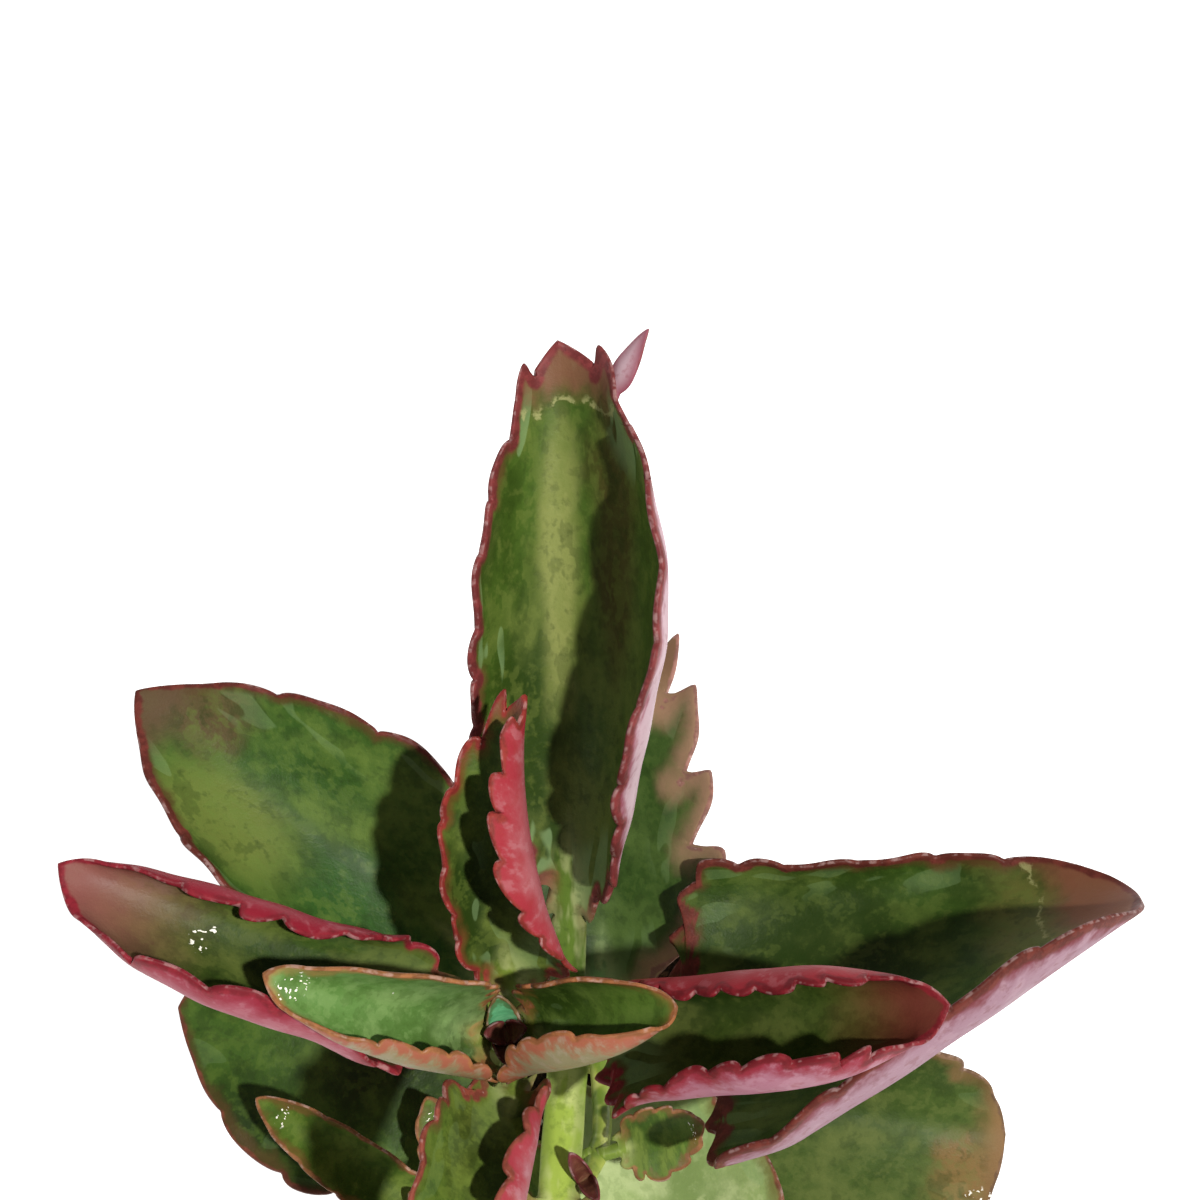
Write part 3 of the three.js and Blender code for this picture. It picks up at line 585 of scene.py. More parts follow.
class Finish:
    """A material, with short calls for the nodes that its colour, gloss and bump are made of."""

    def __init__(self, name):
        self.material = bpy.data.materials.new(name)
        self.material.use_nodes = True
        self.tree = self.material.node_tree
        self.shader = self.tree.nodes["Principled BSDF"]
        place = self.tree.nodes.new("ShaderNodeTexCoord").outputs["Object"]
        scaled = self.node("ShaderNodeVectorMath", place, operation="SCALE", Scale=1 / MM)
        self.place = scaled.outputs["Vector"]

    def put(self, socket, value):
        if isinstance(value, bpy.types.NodeSocket):
            self.tree.links.new(value, socket)
        elif isinstance(value, tuple) and len(value) == 3 and socket.type == "RGBA":
            socket.default_value = (*value, 1)
        else:
            socket.default_value = value

    def node(self, kind, *values, operation=None, **named):
        """A new node; its inputs are given in order, or by name with _ for a blank."""
        node = self.tree.nodes.new(kind)
        if operation:
            node.operation = operation
        for socket, value in zip(node.inputs, values):
            self.put(socket, value)
        for name, value in named.items():
            self.put(node.inputs[name.replace("_", " ")], value)
        return node

    def maths(self, operation, *values):
        return self.node("ShaderNodeMath", *values, operation=operation).outputs[0]

    def times(self, a, b):
        return self.maths("MULTIPLY", a, b)

    def times_plus(self, a, b, more):
        return self.maths("MULTIPLY_ADD", a, b, more)

    def attribute(self, name):
        node = self.node("ShaderNodeAttribute")
        node.attribute_name = name
        return node.outputs["Fac"]

    def noise(self, size, detail=3, rough=0.55, at=None, stretch=(1, 1, 1)):
        """Noise between about 0.3 and 0.7 whose features are about that many millimetres."""
        place = self.node("ShaderNodeMapping", Vector=at or self.place, Scale=stretch)
        node = self.node("ShaderNodeTexNoise", Vector=place.outputs["Vector"], Scale=1 / size,
                         Detail=detail, Roughness=rough)
        return node.outputs["Fac"]

    def ramp(self, value, low, high, start=0.0, end=1.0):
        """Goes smoothly from start to end while the value goes from low to high."""
        if low > high:
            low, high, start, end = high, low, end, start
        node = self.node("ShaderNodeMapRange", Value=value, From_Min=low, From_Max=high,
                         To_Min=start, To_Max=end)
        node.interpolation_type = "SMOOTHSTEP"
        return node.outputs["Result"]

    def blend(self, share, a, b):
        node = self.tree.nodes.new("ShaderNodeMix")
        node.data_type = "RGBA"
        self.put(node.inputs[0], share)
        self.put(node.inputs[6], a)
        self.put(node.inputs[7], b)
        return node.outputs[2]

    def over(self, base, top, value, low, high, most=1.0):
        """Covers a colour with another, up to a share of it, as the value goes from low to high."""
        return self.blend(self.ramp(value, low, high, 0, most), base, top)

    def bump(self, height, strength, distance=0.2):
        """Bump of that many millimetres."""
        node = self.node("ShaderNodeBump", Strength=strength, Distance=distance * MM, Height=height)
        self.put(self.shader.inputs["Normal"], node.outputs["Normal"])

    def set(self, sockets):
        for name, value in sockets.items():
            self.put(self.shader.inputs[name], value)
        return self.material


# What a leaf's skin has unless its own row says otherwise. Colours are screen values, widths are
# in millimetres, and tip_start and tip_length are shares of the blade. Either half may have its own
# tones underneath or a wider rim. Each zone is a soft blotch: its share of the blade, millimetres
# to the left of the midrib, half its length and breadth, its colour and its strength; some zones
# are painted highlight or painted shade, as their rows say. Each glint speck is a round patch of
# white grains painted as glints, that is painted highlights: share of the blade, millimetres to the
# left, and radius.
ANY_SKIN = dict(
    stalk=(124, 146, 60), rim_width=0.8, left_rim=0.0, right_rim=0.0, flush_width=3, tip_start=0.9,
    tip_length=0.12, tip_line=0.0, under_width=6, wax=0.3, gloss=0.2, zones=(), specks=(),
)
SKIN_COLOURS = (
    "deep", "green", "pale", "rim", "flush", "tip", "under", "under_edge", "right_under",
    "right_under_edge", "stalk",
)
# Pale sea-green of the facets near the rim: a painted reflection on the waxy skin.
PAINTED_WAX_REFLECTION = srgb(134, 164, 112)
TIP_CREASE = srgb(190, 190, 130)
# White of the painted glints (painted highlights).
PAINTED_GLINT_WHITE = srgb(255, 252, 240)
# Pale pink of the painted highlights on the under face's bands.
PAINTED_BAND_HIGHLIGHT = (0.8, 0.6, 0.64)
# Pale tint of the painted highlight along the leaves' rims.
PAINTED_RIM_HIGHLIGHT = (0.85, 0.7, 0.68)
STALK_FIBRE = (0.66, 0.68, 0.34)
BLACK = (0, 0, 0)


class LeafFinish(Finish):
    """Waxy leaf: mottled green above, duller below, with a coloured rim, flush, tip and stalk."""

    def __init__(self, name, row):
        super().__init__(name)
        right = {"right_under": row["under"], "right_under_edge": row["under_edge"]}
        skin = {**ANY_SKIN, **right, **row}
        self.skin = SimpleNamespace(**{
            key: srgb(*value) if key in SKIN_COLOURS else value for key, value in skin.items()
        })
        self.to_edge, self.face, self.blade, self.out = map(self.attribute, COLOUR_LAYERS)
        flat = self.times(self.blade, 100.0), self.out, self.times(self.face, 2.0)
        self.flat = self.node("ShaderNodeCombineXYZ", *flat).outputs["Vector"]
        self.leftness = self.ramp(self.out, -0.5, 0.5)
        self.cloud = self.mottle(10, 2, 0.5, 0.6)
        self.fine = self.noise(2.4, 4, 0.6)
        self.ragged = self.times_plus(self.cloud, 1.6, self.times_plus(self.fine, 0.5, -1.05))

    def mottle(self, size, detail, rough, drawn_out):
        """Noise that lies in the blade and is drawn out along it."""
        return self.noise(size, detail, rough, self.flat, (drawn_out, 1, 1))

    def away_from(self, share, left, half_length, half_breadth):
        """1 on an oval round a place of the blade, and 0 at its middle, with a ragged edge."""
        along = self.times_plus(self.blade, 100 / half_length, -share * 100 / half_length)
        aside = self.times_plus(self.out, 1 / half_breadth, -left / half_breadth)
        place = self.node("ShaderNodeCombineXYZ", along, aside, 0.0).outputs["Vector"]
        away = self.node("ShaderNodeVectorMath", place, operation="LENGTH").outputs["Value"]
        return self.maths("ADD", away, self.ragged)

    def upper_face(self):
        skin = self.skin
        upper = self.over(skin.deep, skin.green, self.mottle(30, 1, 0.5, 0.6), 0.36, 0.64)
        upper = self.over(upper, skin.pale, self.cloud, 0.46, 0.68, 0.6)
        upper = self.over(upper, skin.deep, self.cloud, 0.46, 0.28, 0.45)
        for *oval, colour, strength in skin.zones:
            upper = self.over(upper, srgb(*colour), self.away_from(*oval), 1.35, 0.45, strength)
        blots = self.mottle(4.5, 3, 0.6, 0.7)
        upper = self.over(upper, skin.pale, blots, 0.52, 0.58, 0.28)
        upper = self.over(upper, skin.deep, blots, 0.47, 0.4, 0.35)
        upper = self.over(upper, skin.pale, self.fine, 0.5, 0.72, 0.3)
        upper = self.over(upper, skin.deep, self.fine, 0.48, 0.3, 0.35)
        # Pale sea-green facets a few millimetres in from the rim: painted reflections on the waxy
        # skin.
        reflection_facet = self.ramp(self.mottle(4.5, 1, 0.4, 0.3), 0.55, 0.575)
        by_rim = self.times(
            self.ramp(self.to_edge, 11, 6), self.ramp(self.to_edge, 1.2, 2.4, 0, skin.wax))
        upper = self.blend(self.times(reflection_facet, by_rim), upper, PAINTED_WAX_REFLECTION)
        edge = self.times_plus(self.ragged, 5.0, self.to_edge)
        return self.over(upper, skin.flush, edge, skin.flush_width, 0.3, 0.85)

    def with_tip(self, upper):
        """The tip's tone, with a broken pale crease where it starts."""
        start, length, crease = self.skin.tip_start, self.skin.tip_length, self.skin.tip_line
        share = self.times_plus(self.ragged, 0.1, self.blade)
        upper = self.over(upper, self.skin.tip, share, start, start + length, 0.9)
        if not crease:
            return upper
        crest = self.maths("ABSOLUTE", self.maths("SUBTRACT", share, start + 0.02))
        broken = self.times(
            self.ramp(crest, 0.009, 0.002), self.ramp(self.fine, 0.44, 0.58, 0, crease))
        return self.blend(broken, upper, TIP_CREASE)

    def under_face(self):
        skin = self.skin
        patches = self.mottle(3.4, 3, 0.6, 0.8)
        band = self.times_plus(patches, 7.0, self.maths("ADD", self.to_edge, -3.5))
        middle = self.blend(self.leftness, skin.right_under, skin.under)
        edge = self.blend(self.leftness, skin.right_under_edge, skin.under_edge)
        # Pale pink over some of the under face's patches: a painted highlight.
        band_highlight = self.blend(self.leftness, *(
            mix_colour(tone, PAINTED_BAND_HIGHLIGHT, 0.35) for tone in (skin.right_under, skin.under)))
        lower = self.over(middle, edge, band, skin.under_width, 0.8)
        lower = self.over(lower, band_highlight, patches, 0.52, 0.64, 0.2)
        speckle = mix_colour(skin.under_edge, skin.rim, 0.6)
        return self.over(lower, speckle, self.fine, 0.47, 0.34, 0.35)

    def with_rim(self, colour):
        skin = self.skin
        wider = self.ramp(self.leftness, 0, 1, skin.right_rim, skin.left_rim)
        edge = self.times_plus(self.noise(4, 2), 2.4, self.maths("ADD", self.to_edge, -1.2))
        edge = self.maths("SUBTRACT", edge, wider)
        tone = self.over(mix_colour(skin.rim, BLACK, 0.35), skin.rim, self.fine, 0.42, 0.62)
        colour = self.over(colour, tone, edge, skin.rim_width * 1.5, skin.rim_width * 0.6)
        # Pale dots along the very edge: a painted highlight, as if the thin rim caught the light.
        rim_highlight = self.times(
            self.ramp(self.to_edge, 0.35, 0.1), self.ramp(self.noise(1.8, 2), 0.48, 0.66, 0, 0.5))
        return self.blend(rim_highlight, colour, mix_colour(skin.rim, PAINTED_RIM_HIGHLIGHT, 0.4))

    def with_stalk(self, colour):
        stalk, deep = self.skin.stalk, self.skin.deep
        fibres = self.mottle(6, 3, 0.55, 0.5)
        side = self.times_plus(self.ragged, 1.5, self.to_edge)
        tone = self.over(stalk, mix_colour(stalk, STALK_FIBRE, 0.45), fibres, 0.44, 0.6)
        tone = self.over(tone, mix_colour(stalk, deep, 0.6), self.fine, 0.5, 0.32, 0.5)
        # Darker towards the stalk's sides: painted shade that makes the stalk look round.
        tone = self.over(tone, mix_colour(stalk, deep, 0.7), side, 2.6, 0.4, 0.6)
        inward = self.times_plus(self.maths("ABSOLUTE", self.out), 0.02, self.blade)
        return self.over(colour, tone, inward, 0.26, 0.02)

    def with_painted_glints(self, colour):
        # White grains in round patches on the upper face: painted glints, that is painted
        # highlights.
        grains = self.ramp(self.mottle(0.8, 1, 0.4, 0.6), 0.66, 0.68)
        for share, left, radius in self.skin.specks:
            near = self.ramp(self.away_from(share, left, radius, radius), 1.0, 0.7)
            above = self.times(self.times(grains, near), self.ramp(self.face, 0.2, 0.6))
            colour = self.blend(above, colour, PAINTED_GLINT_WHITE)
        return colour

    def finish(self):
        upper = self.with_tip(self.upper_face())
        colour = self.over(self.under_face(), upper, self.face, -0.25, 0.2)
        colour = self.with_painted_glints(self.with_stalk(self.with_rim(colour)))
        grain = self.noise(0.5, 2)
        relief = self.times_plus(self.cloud, 5.0, grain)
        self.bump(self.times_plus(self.fine, 2.2, relief), 0.25)
        roughness = self.ramp(self.cloud, 0.35, 0.65, 0.42, 0.58)
        return self.set({
            "Base Color": colour, "Roughness": roughness, "Specular IOR Level": self.skin.gloss,
        })


def stem_finish():
    f = Finish("yellow_green_stem")
    fine = f.noise(2.2, 4, 0.6)
    tone = f.noise(9, 2, 0.5, stretch=(1, 1, 0.5))
    colour = f.over(srgb(112, 136, 52), srgb(176, 186, 88), tone, 0.4, 0.6)
    colour = f.over(colour, srgb(204, 208, 126), f.noise(5, 2), 0.54, 0.7, 0.5)
    colour = f.over(colour, srgb(88, 112, 40), fine, 0.5, 0.34, 0.4)
    f.bump(f.times_plus(fine, 2.0, f.noise(0.6, 2)), 0.2)
    return f.set({"Base Color": colour, "Roughness": 0.42})


def soil_finish(name, dark, light):
    f = Finish(name)
    colour = f.over(dark, light, f.noise(1.4, 5, 0.7), 0.35, 0.7)
    f.bump(f.noise(0.5, 4, 0.7), 0.8, 0.6)
    return f.set({"Base Color": colour, "Roughness": 0.95, "Specular IOR Level": 0.2})


def glaze_finish():
    f = Finish("pale_glaze")
    cloud = f.noise(24, 3)
    colour = f.over(srgb(216, 209, 195), srgb(209, 201, 186), cloud, 0.35, 0.65)
    colour = f.over(colour, srgb(150, 128, 104), f.noise(0.8, 1), 0.68, 0.74, 0.5)
    f.bump(f.noise(5, 2), 0.12, 0.4)
    return f.set({"Base Color": colour, "Roughness": f.ramp(cloud, 0.3, 0.7, 0.2, 0.32)})


LEAF_COLOURS = {
    "leaf_1_left": dict(
        deep=(68, 98, 40), green=(94, 132, 66), pale=(134, 164, 100), rim=(160, 106, 66),
        flush=(156, 128, 74), tip=(170, 136, 92), under=(136, 128, 94), under_edge=(156, 92, 70),
        rim_width=0.6, flush_width=2.4, tip_start=0.95, under_width=3, wax=0.1, gloss=0.15,
        # The zone darkens the blade's base: partly a brown tinge, partly painted shade. The specks
        # are painted glints.
        zones=((0.12, 0, 22, 14, (58, 72, 36), 0.75),), specks=((0.9, 0, 6), (0.55, -3, 3)),
    ),
    "leaf_1_right": dict(
        deep=(44, 64, 18), green=(80, 106, 40), pale=(98, 120, 52), rim=(158, 100, 62),
        flush=(120, 98, 44), tip=(156, 96, 58), under=(138, 130, 98), under_edge=(156, 90, 68),
        rim_width=0.6, flush_width=2.4, tip_start=0.95, under_width=4, wax=0.1, gloss=0.15,
    ),
    "leaf_2_back": dict(
        deep=(40, 58, 16), green=(70, 92, 32), pale=(104, 120, 50), rim=(150, 56, 50),
        flush=(112, 72, 38), tip=(136, 72, 58), under=(166, 86, 92), under_edge=(158, 48, 58),
        stalk=(118, 138, 50), tip_start=0.86, gloss=0.15,
    ),
    "leaf_2_front": dict(
        deep=(34, 50, 14), green=(78, 102, 36), pale=(114, 132, 54), rim=(142, 72, 58),
        flush=(98, 82, 44), tip=(136, 68, 58), under=(164, 104, 112), under_edge=(158, 56, 66),
        wax=0.1, gloss=0.15, zones=((0.3, -8, 22, 5, (56, 60, 20), 0.6),),
    ),
    "leaf_3_left": dict(
        deep=(28, 44, 12), green=(58, 82, 26), pale=(96, 108, 48), rim=(140, 38, 50),
        flush=(104, 56, 40), tip=(136, 82, 76), under=(156, 72, 88), under_edge=(140, 36, 54),
        right_under=(146, 38, 56), right_under_edge=(136, 30, 46), left_rim=0.5, tip_start=0.56,
        tip_length=0.4, under_width=5, wax=0.08, gloss=0.15,
        # The first zone is the maroon far tip; the second, pale one is a painted highlight near the
        # tip.
        zones=(
            (0.98, 0, 7, 30, (104, 46, 46), 0.7), (0.84, -6, 10, 6, (160, 130, 118), 0.4),
        ),
        # The specks are painted glints.
        specks=((0.64, 3, 3.5),),
    ),
    "leaf_3_right": dict(
        deep=(30, 46, 12), green=(60, 76, 28), pale=(88, 98, 46), rim=(126, 34, 42),
        flush=(88, 50, 32), tip=(102, 44, 38), under=(152, 44, 54), under_edge=(142, 34, 44),
        right_under=(160, 104, 122), right_under_edge=(136, 36, 52), left_rim=0.4, right_rim=0.4,
        tip_start=0.62, tip_length=0.3, under_width=5, gloss=0.1,
    ),
    "leaf_4_back": dict(
        deep=(42, 62, 16), green=(70, 96, 32), pale=(112, 126, 58), rim=(130, 58, 58),
        flush=(104, 76, 44), tip=(126, 84, 64), under=(188, 158, 168), under_edge=(140, 64, 82),
        stalk=(92, 118, 44), rim_width=1.0, left_rim=0.7, right_rim=0.7, tip_start=0.88,
        tip_length=0.07, tip_line=0.5, under_width=4, wax=0.5,
        # The first zone is a pale painted highlight strip along the midrib; the second is a brown
        # tinge on the right half.
        zones=(
            (0.62, 1, 24, 4.5, (150, 156, 88), 0.75), (0.7, -13, 30, 6, (84, 56, 34), 0.6),
        ),
    ),
    "leaf_4_front": dict(
        deep=(58, 80, 28), green=(92, 116, 44), pale=(128, 144, 70), rim=(128, 56, 50),
        flush=(104, 86, 44), tip=(118, 78, 52), under=(130, 142, 96), under_edge=(168, 110, 112),
        stalk=(160, 184, 78),
    ),
    "leaf_5_left": dict(
        deep=(32, 56, 14), green=(50, 82, 26), pale=(96, 120, 50), rim=(108, 50, 42),
        flush=(84, 64, 34), tip=(92, 72, 52), under=(136, 92, 84), under_edge=(132, 56, 54),
        left_rim=0.7, tip_start=0.86, tip_length=0.08, wax=0.2, gloss=0.15,
        zones=(
            (0.68, 10, 18, 10, (128, 140, 66), 0.5), (0.3, 8, 24, 10, (48, 92, 32), 0.6),
            (0.9, -8, 14, 12, (92, 74, 50), 0.8),
        ),
    ),
    "leaf_5_right": dict(
        deep=(34, 54, 14), green=(54, 78, 26), pale=(88, 104, 46), rim=(108, 52, 44),
        flush=(84, 60, 34), tip=(124, 78, 58), under=(150, 116, 130), under_edge=(112, 42, 50),
        rim_width=1.0, left_rim=0.4, right_rim=0.8, tip_start=0.77, tip_line=0.35, under_width=5,
        wax=0.15, gloss=0.1,
        zones=(
            (0.3, 8, 24, 22, (38, 52, 18), 0.6), (0.76, -4, 9, 26, (112, 110, 56), 0.6),
            (0.97, 0, 6, 30, (116, 70, 50), 0.75),
        ),
    ),
    "leaf_6_back": dict(
        deep=(32, 52, 14), green=(48, 74, 26), pale=(78, 102, 46), rim=(160, 116, 104),
        flush=(164, 130, 104), tip=(120, 92, 68), under=(124, 140, 108), under_edge=(150, 116, 106),
        # The stalk is partly its own pale green and partly painted light: lightened to stand in for
        # sun on its shaded base.
        stalk=(144, 190, 122), rim_width=0.6, flush_width=7, tip_start=0.8, wax=0.15,
    ),
    # Pale glaucous green, partly its own colour and partly painted light: lightened to stand in for
    # sun that the leaves above keep off it.
    "leaf_6_front": dict(
        deep=(120, 142, 84), green=(152, 174, 110), pale=(184, 198, 144), rim=(120, 76, 54),
        flush=(112, 110, 60), tip=(122, 92, 58), under=(128, 148, 108), under_edge=(150, 120, 100),
        stalk=(164, 190, 132),
    ),
    "leaf_7_left": dict(
        deep=(30, 48, 12), green=(56, 84, 26), pale=(84, 108, 40), rim=(116, 64, 48),
        flush=(74, 58, 30), tip=(72, 62, 32), under=(112, 128, 96), under_edge=(140, 96, 84),
        tip_start=1.0, wax=0.1,
    ),
    "leaf_7_right": dict(
        deep=(44, 62, 22), green=(66, 86, 36), pale=(98, 110, 56), rim=(126, 98, 74),
        flush=(118, 94, 58), tip=(132, 102, 68), under=(126, 140, 104), under_edge=(160, 128, 112),
        rim_width=0.6, flush_width=4, tip_start=0.86, tip_length=0.14, wax=0.1, gloss=0.1,
        # The specks are painted glints.
        zones=((0.9, -16, 16, 15, (136, 104, 64), 0.75),), specks=((0.9, -18, 8),),
    ),
    # Tones partly the bud's own and partly painted light: lightened to stand in for sun on the
    # shaded bud.
    "purple_bud": dict(
        deep=(74, 38, 30), green=(96, 54, 40), pale=(130, 88, 66), rim=(110, 48, 50),
        flush=(96, 46, 42), tip=(86, 38, 40), under=(96, 50, 54), under_edge=(92, 36, 46),
        stalk=(110, 124, 60), rim_width=0.4, flush_width=2, under_width=3, wax=0.0,
    ),
    # Tones partly the bud's own and partly painted light: lightened to stand in for sun on the
    # shaded bud.
    "teal_bud": dict(
        deep=(64, 124, 84), green=(86, 156, 110), pale=(120, 184, 136), rim=(120, 96, 60),
        flush=(72, 110, 66), tip=(84, 100, 58), under=(104, 150, 110), under_edge=(110, 110, 76),
        rim_width=0.3, flush_width=1, under_width=2, wax=0.0,
    ),
    "green_shoot": dict(
        deep=(48, 70, 20), green=(74, 100, 34), pale=(106, 124, 52), rim=(140, 96, 62),
        flush=(100, 80, 40), tip=(120, 88, 50), under=(116, 128, 88), under_edge=(140, 100, 80),
        rim_width=0.5, flush_width=2, tip_start=0.97, under_width=3, wax=0.0, gloss=0.1,
        # The specks are painted glints.
        specks=((0.85, 0, 3),),
    ),
}
SKINS = {name: LeafFinish(name + "_skin", row).finish() for name, row in LEAF_COLOURS.items()}
STEM_SKIN = stem_finish()
GLAZE = glaze_finish()
SOIL = soil_finish("dark_potting_soil", srgb(26, 19, 14), srgb(70, 53, 40))
BARK = soil_finish("bark_crumbs", srgb(48, 32, 22), srgb(112, 82, 58))
PERLITE = soil_finish("perlite_crumbs", srgb(196, 192, 182), srgb(236, 234, 228))


# ---------------------------------------------------------------- the plant
def build_leaves():
    for number, (name, row) in enumerate(LEAVES.items()):
        bm = bmesh.new()
        add_leaf(bm, STEM, row, number * 1.7)
        if name in FOLDED_TEETH:
            add_folded_tooth(bm, FOLDED_TEETH[name], number)
        slot = "young_leaf" if row["node"] > YOUNG_ABOVE else "leaf"
        finish_piece(name, bm, SKINS[name], slot, name)


def build_leafy_stem(name, stem, joints, rings, leaves):
    """A stem as one piece, and the small leaves on it as one piece for each skin."""
    bm = bmesh.new()
    add_stem(bm, stem, joints, rings)
    finish_piece(name, bm, STEM_SKIN, "stem", name)
    for skin in dict.fromkeys(row["skin"] for row in leaves):
        bm = bmesh.new()
        for number, row in enumerate(leaves):
            if row["skin"] == skin:
                add_leaf(bm, stem, row, number * 2.3 + len(leaves))
        finish_piece(f"{name}_{skin}", bm, SKINS[skin], "leaf", name)


def build_stems():
    for name, stem, on_stem, rings, leaves in (
        ("stem", STEM, LEAVES.values(), 260, TIP_LEAVES),
        ("shoot_left", SHOOT_LEFT, SHOOT_LEFT_LEAVES, 90, SHOOT_LEFT_LEAVES),
        ("shoot_front", SHOOT_FRONT, SHOOT_FRONT_LEAVES, 70, SHOOT_FRONT_LEAVES),
    ):
        build_leafy_stem(name, stem, {row["node"] for row in on_stem}, rings, leaves)


# ---------------------------------------------------------------- the pot and the soil
def wall_radius(height):
    """Radius of the pot's outer wall below its band."""
    return mix(POT_FOOT_RADIUS, POT_LIP_RADIUS - POT_BAND_STEP, min(height / POT_BAND_FOOT, 1))


def inner_radius(height):
    return wall_radius(height) - POT_WALL


def build_pot():
    lip_inside = inner_radius(POT_BAND_FOOT)
    profile = [
        (0, 0), (POT_FOOT_RADIUS, 0), (wall_radius(POT_BAND_FOOT), POT_BAND_FOOT),
        (POT_LIP_RADIUS, POT_BAND_FOOT), (POT_LIP_RADIUS, POT_HEIGHT), (lip_inside, POT_HEIGHT),
        (lip_inside, POT_BAND_FOOT), (inner_radius(POT_FLOOR), POT_FLOOR), (0, POT_FLOOR),
    ]
    bm = bmesh.new()
    corners = [bm.verts.new((radius, 0, height)) for radius, height in profile]
    edges = [bm.edges.new(pair) for pair in zip(corners, corners[1:])]
    bmesh.ops.spin(bm, geom=corners + edges, cent=(0, 0, 0), axis=(0, 0, 1),
                   angle=2 * math.pi, steps=POT_SIDES, use_merge=True, dvec=(0, 0, 0))
    bmesh.ops.remove_doubles(bm, verts=bm.verts, dist=1e-6)
    bmesh.ops.recalc_face_normals(bm, faces=bm.faces)
    rings = [e for e in bm.edges if e.is_manifold and e.calc_face_angle() > math.radians(30)]
    bmesh.ops.bevel(bm, geom=rings, offset=POT_EDGE, offset_type="OFFSET", segments=4,
                    profile=0.5, affect="EDGES", material=-1)
    finish_piece("pot", bm, GLAZE, "pot", "pot")


def soil_height(x, y, edge):
    """Height of the soil's surface: a low crown with lumps that die out at the edge."""
    share = min(math.hypot(x, y) / edge, 1)
    lumps = sum(
        height * noise.noise(Vector((x, y, level)) / breadth)
        for height, breadth, level in SOIL_LUMPS)
    return SOIL_TOP + SOIL_CROWN * (1 - share**2) + lumps * MM * (1 - share**6)


def build_soil():
    edge = inner_radius(SOIL_TOP) - SOIL_GAP
    bm = bmesh.new()
    made = bmesh.ops.create_grid(bm, x_segments=SOIL_GRID, y_segments=SOIL_GRID, size=1)
    for vert in made["verts"]:
        x, y, _ = vert.co
        x, y = x * math.sqrt(1 - y * y / 2) * edge, y * math.sqrt(1 - x * x / 2) * edge
        vert.co = (x, y, soil_height(x, y, edge))
    rim = [e for e in bm.edges if e.is_boundary]
    for height in (POT_BAND_FOOT, SOIL_FOOT):
        made = bmesh.ops.extrude_edge_only(bm, edges=rim)["geom"]
        rim = [g for g in made if isinstance(g, bmesh.types.BMEdge) and g.is_boundary]
        for vert in {v for e in rim for v in e.verts}:
            radius = inner_radius(height) - SOIL_GAP
            flat = Vector((vert.co.x, vert.co.y, 0)).normalized() * radius
            vert.co = (flat.x, flat.y, height)
    bmesh.ops.holes_fill(bm, edges=rim, sides=0)
    bmesh.ops.recalc_face_normals(bm, faces=bm.faces)
    finish_piece("soil", bm, SOIL, "soil", "soil")
    build_crumbs("soil_bark", BARK, edge, *BARK_CRUMBS)
    build_crumbs("soil_perlite", PERLITE, edge, *PERLITE_CRUMBS)


def build_crumbs(name, material, edge, count, sizes, seed):
    """Rough crumbs strewn on the soil, half sunk in it."""
    draw = random.Random(seed)
    bm = bmesh.new()
    for _ in range(count):
        size = draw.uniform(*sizes) * MM
        radius = math.sqrt(draw.random()) * (edge - size)
        turn = draw.uniform(0, 2 * math.pi)
        x, y = radius * math.cos(turn), radius * math.sin(turn)
        lie = Matrix.Translation((x, y, soil_height(x, y, edge) + 0.1 * size))
        turned = Matrix.Rotation(draw.uniform(0, 6.3), 4, "Z")
        lie @= turned @ Matrix.Rotation(draw.gauss(0, 0.3), 4, "X")
        breadth = size * draw.uniform(0.5, 0.9)
        lie @= Matrix.Diagonal((size, breadth, size * draw.uniform(0.3, 0.6), 1))
        made = bmesh.ops.create_icosphere(bm, subdivisions=1, radius=1)
        for vert in made["verts"]:
            vert.co = lie @ (vert.co * draw.uniform(0.75, 1.1))
    bmesh.ops.recalc_face_normals(bm, faces=bm.faces)
    finish_piece(name, bm, material, "soil", "soil", smooth=False)


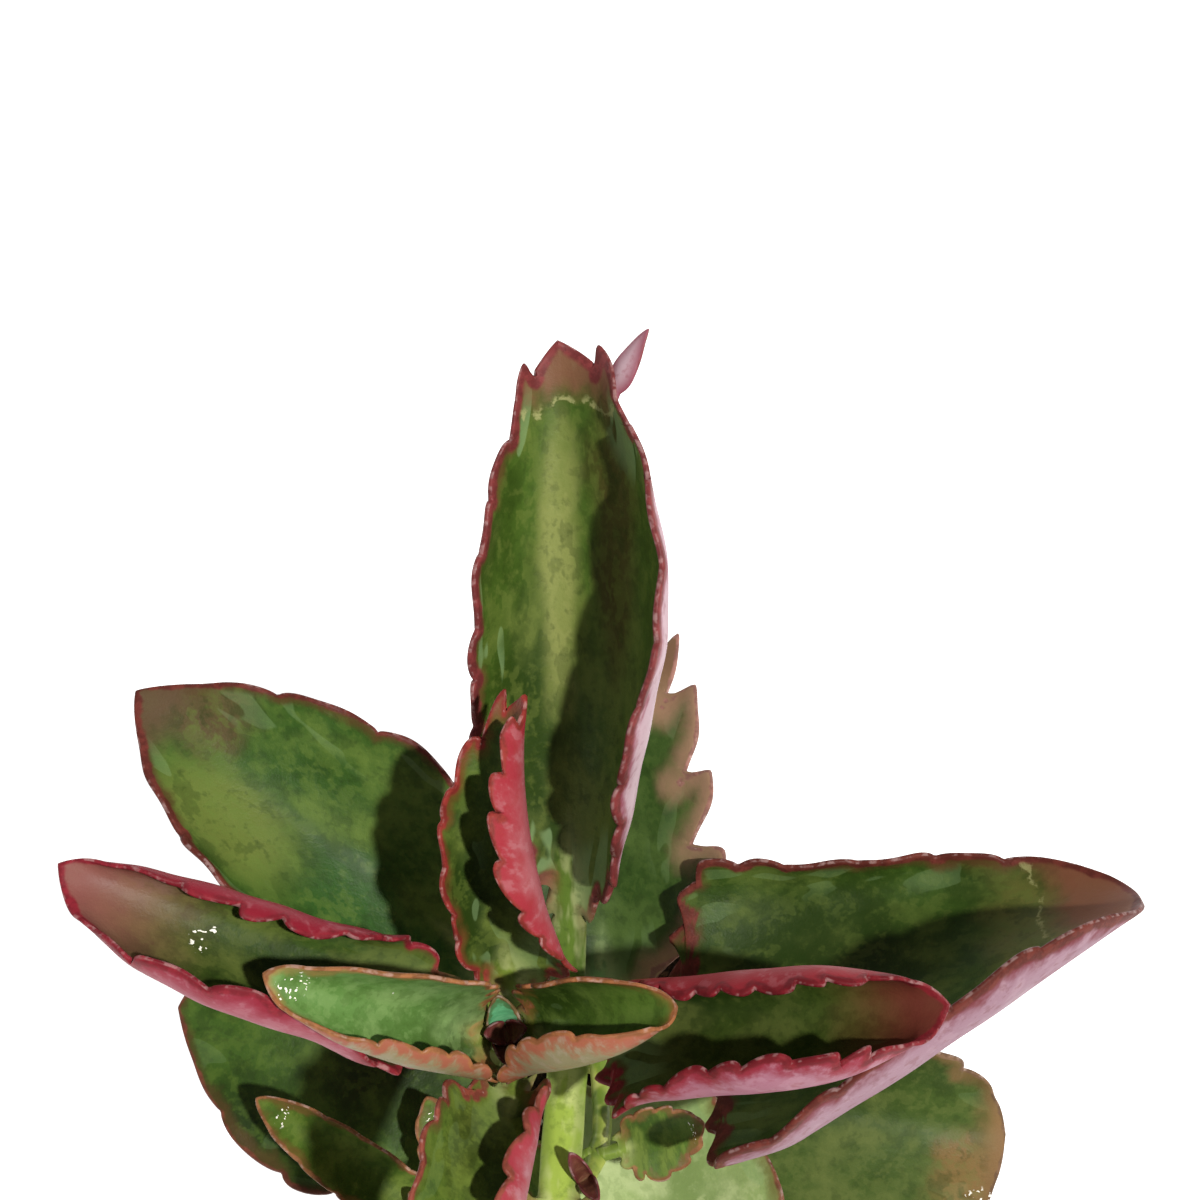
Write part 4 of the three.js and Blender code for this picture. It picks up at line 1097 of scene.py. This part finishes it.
# ---------------------------------------------------------------- floor, light and camera
FLOOR_RADIUS = 6
SUN_STRENGTH = 3.6
SUN_BREADTH = math.radians(2.5)
SUN_COLOUR = (1, 0.97, 0.92)
SUN_FROM = Vector((0.4, -0.22, 1))
# The sky's strength near the horizon and higher up, and the heights between which it changes.
SKY_STRENGTH = (0.6, 0.16)
SKY_HEIGHTS = (0.1, 0.6)
CAMERA_PLACE = (0.74 * MM, -35.24 * MM, 521.24 * MM)
CAMERA_TILT = math.radians(20)


def build_floor():
    bm = bmesh.new()
    bmesh.ops.create_circle(bm, cap_ends=True, segments=96, radius=FLOOR_RADIUS)
    pale = Finish("pale_floor").set({
        "Base Color": (0.6, 0.6, 0.6), "Roughness": 0.9, "Emission Color": (1, 1, 1),
        "Emission Strength": 1.0,
    })
    floor = add_mesh("floor", bm, pale)


def build_light():
    world = bpy.data.worlds.new("studio")
    world.use_nodes = True
    nodes, links = world.node_tree.nodes, world.node_tree.links
    place = nodes.new("ShaderNodeTexCoord")
    parts = nodes.new("ShaderNodeSeparateXYZ")
    height = nodes.new("ShaderNodeMapRange")
    for ends, values in (("From", SKY_HEIGHTS), ("To", SKY_STRENGTH)):
        height.inputs[f"{ends} Min"].default_value = values[0]
        height.inputs[f"{ends} Max"].default_value = values[1]
    links.new(place.outputs["Generated"], parts.inputs[0])
    links.new(parts.outputs["Z"], height.inputs["Value"])
    links.new(height.outputs["Result"], nodes["Background"].inputs["Strength"])
    nodes["Background"].inputs["Color"].default_value = (1, 1, 1, 1)
    bpy.context.scene.world = world
    sun = bpy.data.lights.new("key", "SUN")
    sun.energy = SUN_STRENGTH
    sun.angle = SUN_BREADTH
    sun.color = SUN_COLOUR
    key = add_object("key", sun)
    key.rotation_euler = SUN_FROM.to_track_quat("Z", "Y").to_euler()
    bpy.context.scene.view_settings.view_transform = "Standard"


def build_camera():
    data = bpy.data.cameras.new("camera")
    data.sensor_width = 36
    data.lens = 54
    data.clip_start = 10 * MM
    camera = add_object("camera", data)
    camera.location = CAMERA_PLACE
    camera.rotation_euler = (CAMERA_TILT, 0, 0)
    bpy.context.scene.camera = camera


build_camera()
build_light()
build_floor()
build_pot()
build_soil()
build_stems()
build_leaves()
